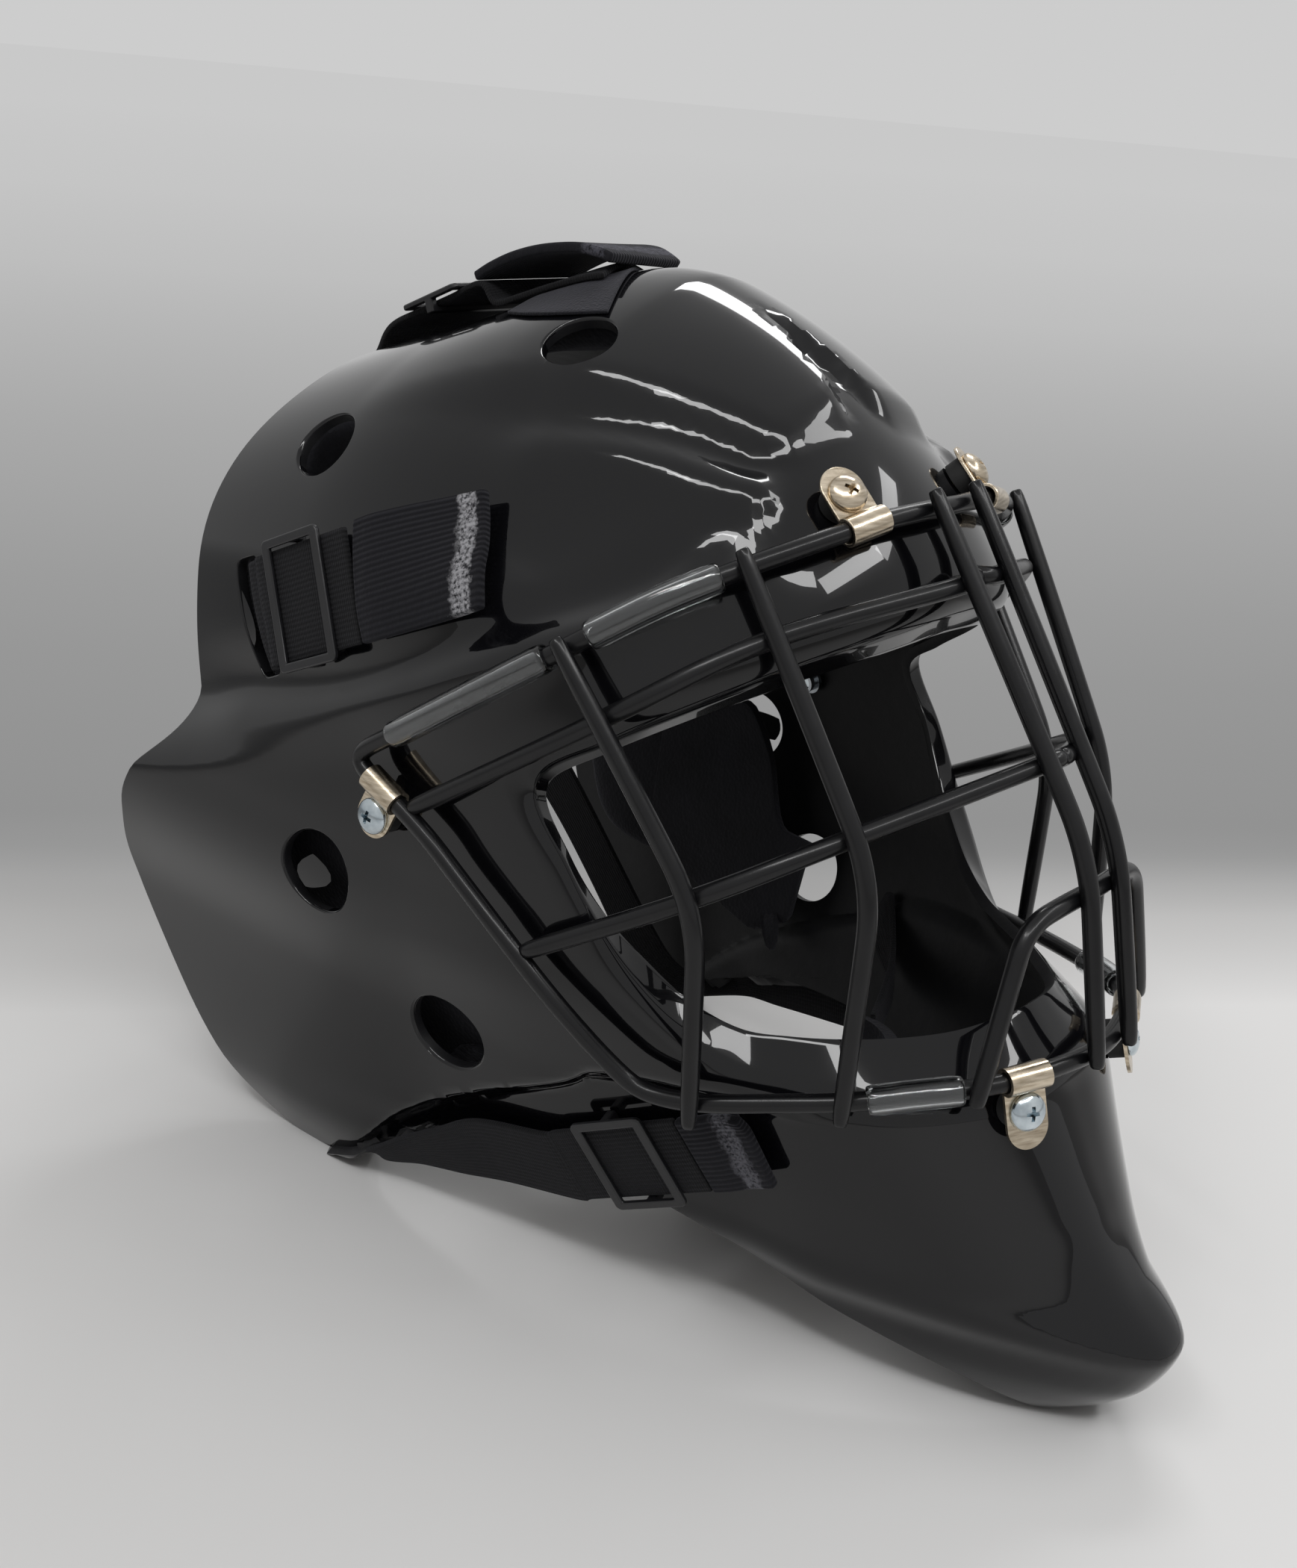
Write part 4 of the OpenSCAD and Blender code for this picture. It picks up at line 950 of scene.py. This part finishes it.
# %% Rows of the straps
side_rows = [row_free(p, [0, 0.1, 0.99], STRAP_W)
             for p in ([-66.4, 139, 176], [-76, 128, 177], [-85, 116, 178])]
side_rows += [row_on(np.array(SIDE_SLOT) + STRAP_RUN * t, ACROSS_SIDE, STRAP_W, h, FLANK)
              for t, h in ((-12, -5.3), (-7, -5.2), (-3.4, -4.2), (0.2, -1.8), (3.6, 0.9), (8, LAY))]
side_rows += [row_flat(SIDE_F, t, FLAT_H, STRAP_W) for t in (-REACH_S + 4, -8, 0, 8, REACH_S)]
jaw_rows = [row_between(lower, upper) for upper, lower in (
    ([-66, 129, 96], [-66, 136, 74]), ([-67, 110, 76], [-68, 119, 56]), ([-71, 90, 49], [-71, 99, 30]),
    ([-75, 75, 28], [-71, 84, 11]), ([-79, 65, 16], [-70, 72, 5.5]), ([-86, 55, 11], [-74, 60, 4]),
    ([-88, 46, 17], [-81, 49, 7.5]), ([-87, 35, 26], [-81, 31, 15.5]), ([-85.5, 21, 36], [-78.5, 14, 20]),
    ([-83.5, 6, 46], [-75.5, -3, 24.8]))]
jaw_rows += [row_flat(JAW_F, t, FLAT_H, JAW_W) for t in (-REACH_S - 5, -REACH_S, -8, 0, 8, REACH_S)]
top_rows = [row_free(p, [-1, 0, 0], TOP_W)
            for p in ([0, 147.5, 235.8], [0, 140.5, 241.5], [0, 134, 248.2], [0, 130, 255])]
top_rows += [row_flat(TOP_F, t, FLAT_H, TOP_W) for t in (-REACH_S + 2, -8, 0, 8, REACH_S - 1)]
top_rows += [row_skew(y, turn, TOP_W, h)
             for y, turn, h in ((78, 0, 3.2), (70, 2, LAY_2), (60, 5, LAY_2), (50, 8, LAY_2),
                                (44, 10, LAY_2))]

# %% [markdown]
# The straps run from the shell back towards the plate, and the elastic between them stretches
# when the plate is pulled back. Here the straps ride on no body. As in the construction model, the
# top strap reaches the plate, and the side and jaw straps stop about 10 and 20 mm short of its edge.

# %% Straps
for name, rows in (("strap_top", top_rows), ("strap_side", side_rows), ("strap_jaw", jaw_rows)):
    for side in ("",) if name == "strap_top" else SIDES:
        made = ribbon(name + side + "_webbing", rows, STRAP_T, webbing, None, [name + side],
                      left=side == "_l")
        turn = -1 if side == "_l" else 1
        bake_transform(made)

# %% [markdown]
# ## Tails and patches
#
# Past its slide each strap folds back as a thicker tail that grips a patch on the shell. The tails
# peel off on their own bodies. Their last stretch carries the worn, pale hook tape.

# %% Tails
side_tail = [row_on(SIDE_P + STRAP_RUN * (REACH_S + t), ACROSS_SIDE, STRAP_W, h, FLANK)
             for t, h in ((0.6, 3.9), (8, 4.6), (18, 4), (28, 4.2), (36, 5.4), (41, 7))]
jaw_tail = [row_on(JAW_P + JAW_RUN * (REACH_S + t), ACROSS_JAW, JAW_W, h, FLANK)
            for t, h in ((0.6, 3.9), (7, 4.4), (14, 4), (22, 4.6))]
k = LANES
top_tail = [real(np.hstack([-k * TOP_W / 2, y - k * skew * 1.2, z + k * skew * 0.4]))
            for y, z, skew in ((88.8, 277.8, 0), (82, 281.6, 0), (73, 285.5, 0.5), (62, 288.6, 1),
                               (51, 289.9, 3), (44, 289.2, 4.5), (39, 287.8, 5.4))]
STRIP_FROM, STRIP_TO = 0.0105, 0.0022
for name, rows, pale in (("tail_side", side_tail, "#A2A2A6"), ("tail_jaw", jaw_tail, "#5E5E64"),
                         ("tail_top", top_tail, "#4A4A52")):
    middle = np.array(rows)[:, 2]
    length = np.linalg.norm(np.diff(middle, axis=0), axis=1).sum() * MM
    finish = fuzzy_tip(name + "_cloth", "#09090E", length - STRIP_FROM, length - STRIP_TO, pale)
    for side in ("",) if name == "tail_top" else SIDES:
        ribbon(name + side + "_cloth", rows, TAIL_T, finish, name + side, [name + side],
               left=side == "_l", fine=1.2)
    print(name, "is", round(length * 1000), "mm long")


# %% Patches
def patch(name, rows, left=False):
    return ribbon(name, rows, 1.0, loop_tape, "mask", ["hook_patches"], left=left, shift=1.0)


side_patch = [row_on(SIDE_P + STRAP_RUN * (REACH_S + t), ACROSS_SIDE, STRAP_W - 4, 0.4, FLANK)
              for t in (9, 20, 32)]
jaw_patch = [row_on(JAW_P + JAW_RUN * (REACH_S + t), ACROSS_JAW, JAW_W - 4, 0.4, FLANK)
             for t in (5, 11, 18)]
for side in SIDES:
    patch("patch_side" + side, side_patch, side == "_l")
    patch("patch_jaw" + side, jaw_patch, side == "_l")
patch("patch_top", [off(aim(np.hstack([x + k * w / 2, y + k * skew, k * 0 + 280]), ABOVE), 0.4)
                    for y, skew, x, w in ((62, 5, -8, 58), (54, 8, -10, 60), (44, 11, -12, 56),
                                          (32, 13, -15, 42))])

# %% [markdown]
# ## Slides
#
# Each slide is a three-bar buckle. Its rounded bars are what catches the light beside the flat
# webbing, so the copy gets a generous bevel.

# %% Slides
for name in ("slide_top", "slide_side_r", "slide_side_l", "slide_jaw_r", "slide_jaw_l"):
    rounded_copy(name, name + "_moulded", slide_plastic, name, 0.0005, 3)

# %% [markdown]
# ## Back plate, pads and chin cup
#
# The plate behind the head is a thin shell with a padded lining. The liner pads are closed foam,
# crowned on the side of the head. All of them are smooth copies of their construction solids with
# two levels of subdivision, which rounds them as a knitted cover would.

# %% Plate and pads
piece("back_plate_shell", merged("back_plate"), plate_plastic, "back_plate", ["back_plate"],
      levels=2)
pad = piece("back_plate_cushion", merged("back_plate_pad"), plate_cover, "back_plate",
            ["back_plate_pad"], levels=2)
for name in ("forehead_pad", "crown_pad", "temple_pad_r", "temple_pad_l", "jaw_pad_r", "jaw_pad_l"):
    pad = piece(name + "_cover", merged(name), foam_cover, "mask", [name], levels=2)

# %% [markdown]
# In the photograph the jaw vents look onto something dark, so a thin foam sheet lines each side of
# the jaw. It follows the form at some depth inside the wall, and it is no part of the construction
# model.


# %% Cheek liners, chin cup and slings
def cheek_liner(left):
    shape, uv = unit_grid(30, 24)
    u, v = uv.T
    y = 5 + 80 * u
    low, high = 36 + 0.3 * (y - 5), 86 + 44 * ease((y - 18) / 30)
    deep = -WALL - 11 - 4 * u[:, None]
    p = off(np.stack([np.full_like(y, -100.0), y, low + (high - low) * v], 1), deep)
    move_to(shape, p * np.array([-1 if left else 1, 1, 1]))
    return shape


for side in SIDES:
    sheet = piece("cheek_liner" + side, cheek_liner(side == "_l"), foam_cover, "mask")
    modify(sheet, "thickness", "SOLIDIFY", thickness=0.003, offset=0.0)
    bevel(sheet, 0.001, 3, 50)
    settle(sheet)
rounded_copy("chin_cup", "chin_cup_moulded", cup_cover, "mask", 0.0008, 3)
sling_rows = [row_free(p, [0, 0.1, 0.99], 14) for p in ([-30.2, -57, 60.5], [-46, -50, 62], [-62, -42, 66])]
for x, y, z, h in ((-80, -33, 72, -6.0), (-84, -26, 75, -5.4)):
    sling_rows.append(off(np.hstack([k * 0 + x, k * 0 + y, z + 7 * k]), h))
for side in SIDES:
    ribbon("sling" + side + "_webbing", sling_rows, 1.8, webbing, "mask", ["sling" + side],
           left=side == "_l")
print("plate, pads, cup and slings are dressed")

# %% [markdown]
# ## Studio
#
# The photograph was taken on a pale sweep. Its highlights say where the lamps stood: mirroring the
# line of sight at each of them points at a ring of narrow strips, about 50 degrees up, from the
# wearer's left over the front to the wearer's right, and at a box behind the wearer's left.

# %% Camera
camera = bpy.data.objects.new("camera", bpy.data.cameras.new("camera"))
bpy.context.collection.objects.link(camera)
right = Vector((0.672926, -0.735193, 0.08162))
down = Vector((-0.235518, -0.317545, -0.918529))
ahead = Vector((0.701215, 0.598879, -0.386836))
FOCAL_PX, FRAME_PX, SENSOR = 2205.77, 2100, 36
turn = Matrix([right, -down, -ahead]).transposed().to_4x4()
camera.matrix_world = Matrix.Translation((-0.37098, -0.285982, 0.333648)) @ turn
camera.data.lens = FOCAL_PX * SENSOR / FRAME_PX
camera.data.sensor_width = SENSOR
camera.data.clip_start, camera.data.clip_end = 0.02, 60
bpy.context.scene.camera = camera
bpy.context.scene.view_settings.view_transform = "Standard"

# %% [markdown]
# Close to the mask the paper is plain and takes its shadow. Further back the camera, the gloss and
# the vinyl see a tone that the material gives by distance behind the mask: a darker band first, and
# then paler again towards the wall. This band is painted shade and the paler wall painted light,
# both glowing from the paper, and where the glow begins the paper's own colour darkens into the
# band as painted shade too. The ramp runs on the logarithm of that distance, so that it has
# room for the few centimetres at the band's edge and for the metres beyond.

# %% Floor
def rays_that_see(tree):
    """1 for camera, glossy and transmission rays, and 0 for the light that falls on the object."""
    path = tree.node("LightPath")
    most = tree.sums("MAXIMUM", (path, "Is Camera Ray"), (path, "Is Glossy Ray"))
    return tree.sums("MAXIMUM", (most, 0), (path, "Is Transmission Ray"))


BEHIND = (0.6285, 0.7778, 0)
floor_shape = bmesh.new()
bmesh.ops.create_grid(floor_shape, x_segments=2, y_segments=2, size=60.0)
floor = bare("floor", floor_shape)
paper = Finish("floor_paper", Roughness=0.95, Specular_IOR_Level=0.1)
away = paper.place(paper.node("VectorMath", operation="DOT_PRODUCT"), "Object", 0)
away.inputs[1].default_value = BEHIND
reach = paper.sums("LOGARITHM", (paper.sums("MULTIPLY", (away, "Value"), 10.0), 0), 1000.0)
# Painted shade and light of the sweep: a darker band behind the mask, then a paler wall.
painted_sweep_tones = paper.ramp(reach, 0, [(0.07, "#AAAAAA"), (0.11, "#A2A2A2"), (0.13, "#979797"), (0.15, "#929292"),
                              (0.193, "#949494"), (0.235, "#979797"), (0.275, "#9C9C9C"), (0.36, "#AAAAAA"),
                              (0.465, "#BEBEBE"), (0.54, "#C5C5C5"), (0.67, "#C9C9C9")])
# Painted shade: the paper's own colour darkens with distance behind the mask, into the band.
near = paper.ramp(reach, 0, [(0.0, "#DADADA"), (0.07, "#C2C2C2"), (0.11, "#B2B2B2"), (0.13, "#A2A2A2")])
paper.link(near, "Color", paper.shader, "Base Color")
glow = paper.node("Emission")
paper.link(painted_sweep_tones, "Color", glow, "Color")
edge = paper.ramp(reach, 0, [(0.085, 0.0), (0.135, 1.0)])
share = paper.sums("MULTIPLY", (edge, "Color"), (rays_that_see(paper), 0))
blend_paper = paper.node("MixShader")
paper.link(share, 0, blend_paper, "Fac")
paper.link(paper.shader, 0, blend_paper, 1)
paper.link(glow, 0, blend_paper, 2)
paper.link(blend_paper, 0, paper.tree.nodes["Material Output"], "Surface")
floor.data.materials.append(paper.material)

# %% [markdown]
# The world has two lights in one. Things are lit by a soft fill that comes from above, so the paper
# under the mask stays dark, while a line of sight that misses the paper meets a plain pale tone.

# %% World
world = bpy.data.worlds.new("studio")
world.use_nodes = True
bpy.context.scene.world = world
world.node_tree.nodes.clear()
sky = Nodes(world.node_tree)
height = sky.node("SeparateXYZ")
sky.link(sky.node("TexCoord"), "Generated", height, 0)
above = sky.node("MapRange", **{"From Min": 0.3, "From Max": 0.8, "To Min": 0.08, "To Max": 0.84})
sky.link(height, "Z", above, "Value")
fill = sky.node("Background", Color=srgb("#DEDCDA"))
sky.link(above, "Result", fill, "Strength")
mixer = sky.node("MixShader")
sky.link(rays_that_see(sky), 0, mixer, "Fac")
sky.link(fill, 0, mixer, 1)
sky.link(sky.node("Background", Color=srgb("#CDCDCD")), 0, mixer, 2)
sky.link(mixer, 0, sky.node("OutputWorld"), 0)


# %% Lamps
TARGET, RING = Vector((0, 0, 0.2)), 1.5


def lamp(name, place, size, tall, power):
    light = bpy.data.lights.new(name, "AREA")
    light.shape = "RECTANGLE"
    light.size, light.size_y = size, tall
    light.energy = power
    made = bpy.data.objects.new(name, light)
    bpy.context.collection.objects.link(made)
    made.location = place
    made.rotation_mode = "QUATERNION"
    made.rotation_quaternion = (TARGET - Vector(place)).to_track_quat("-Z", "Y")


for name, heading, height, long, power in (
        ("left", 50, 46, 0.75, 2.2), ("front", 12, 47, 0.7, 3.0), ("right", -30, 50, 0.75, 3.4),
        ("side", -68, 54, 0.7, 3.4), ("flank", -98, 56, 0.5, 2.4)):
    a, e = math.radians(heading), math.radians(height)
    arm = Vector((math.sin(a) * math.cos(e), -math.cos(a) * math.cos(e), math.sin(e)))
    lamp(name + "_strip", TARGET + arm * RING, long, 0.13, power)
lamp("far_box", (0.91, 0.42, 1.3), 0.75, 0.22, 6)
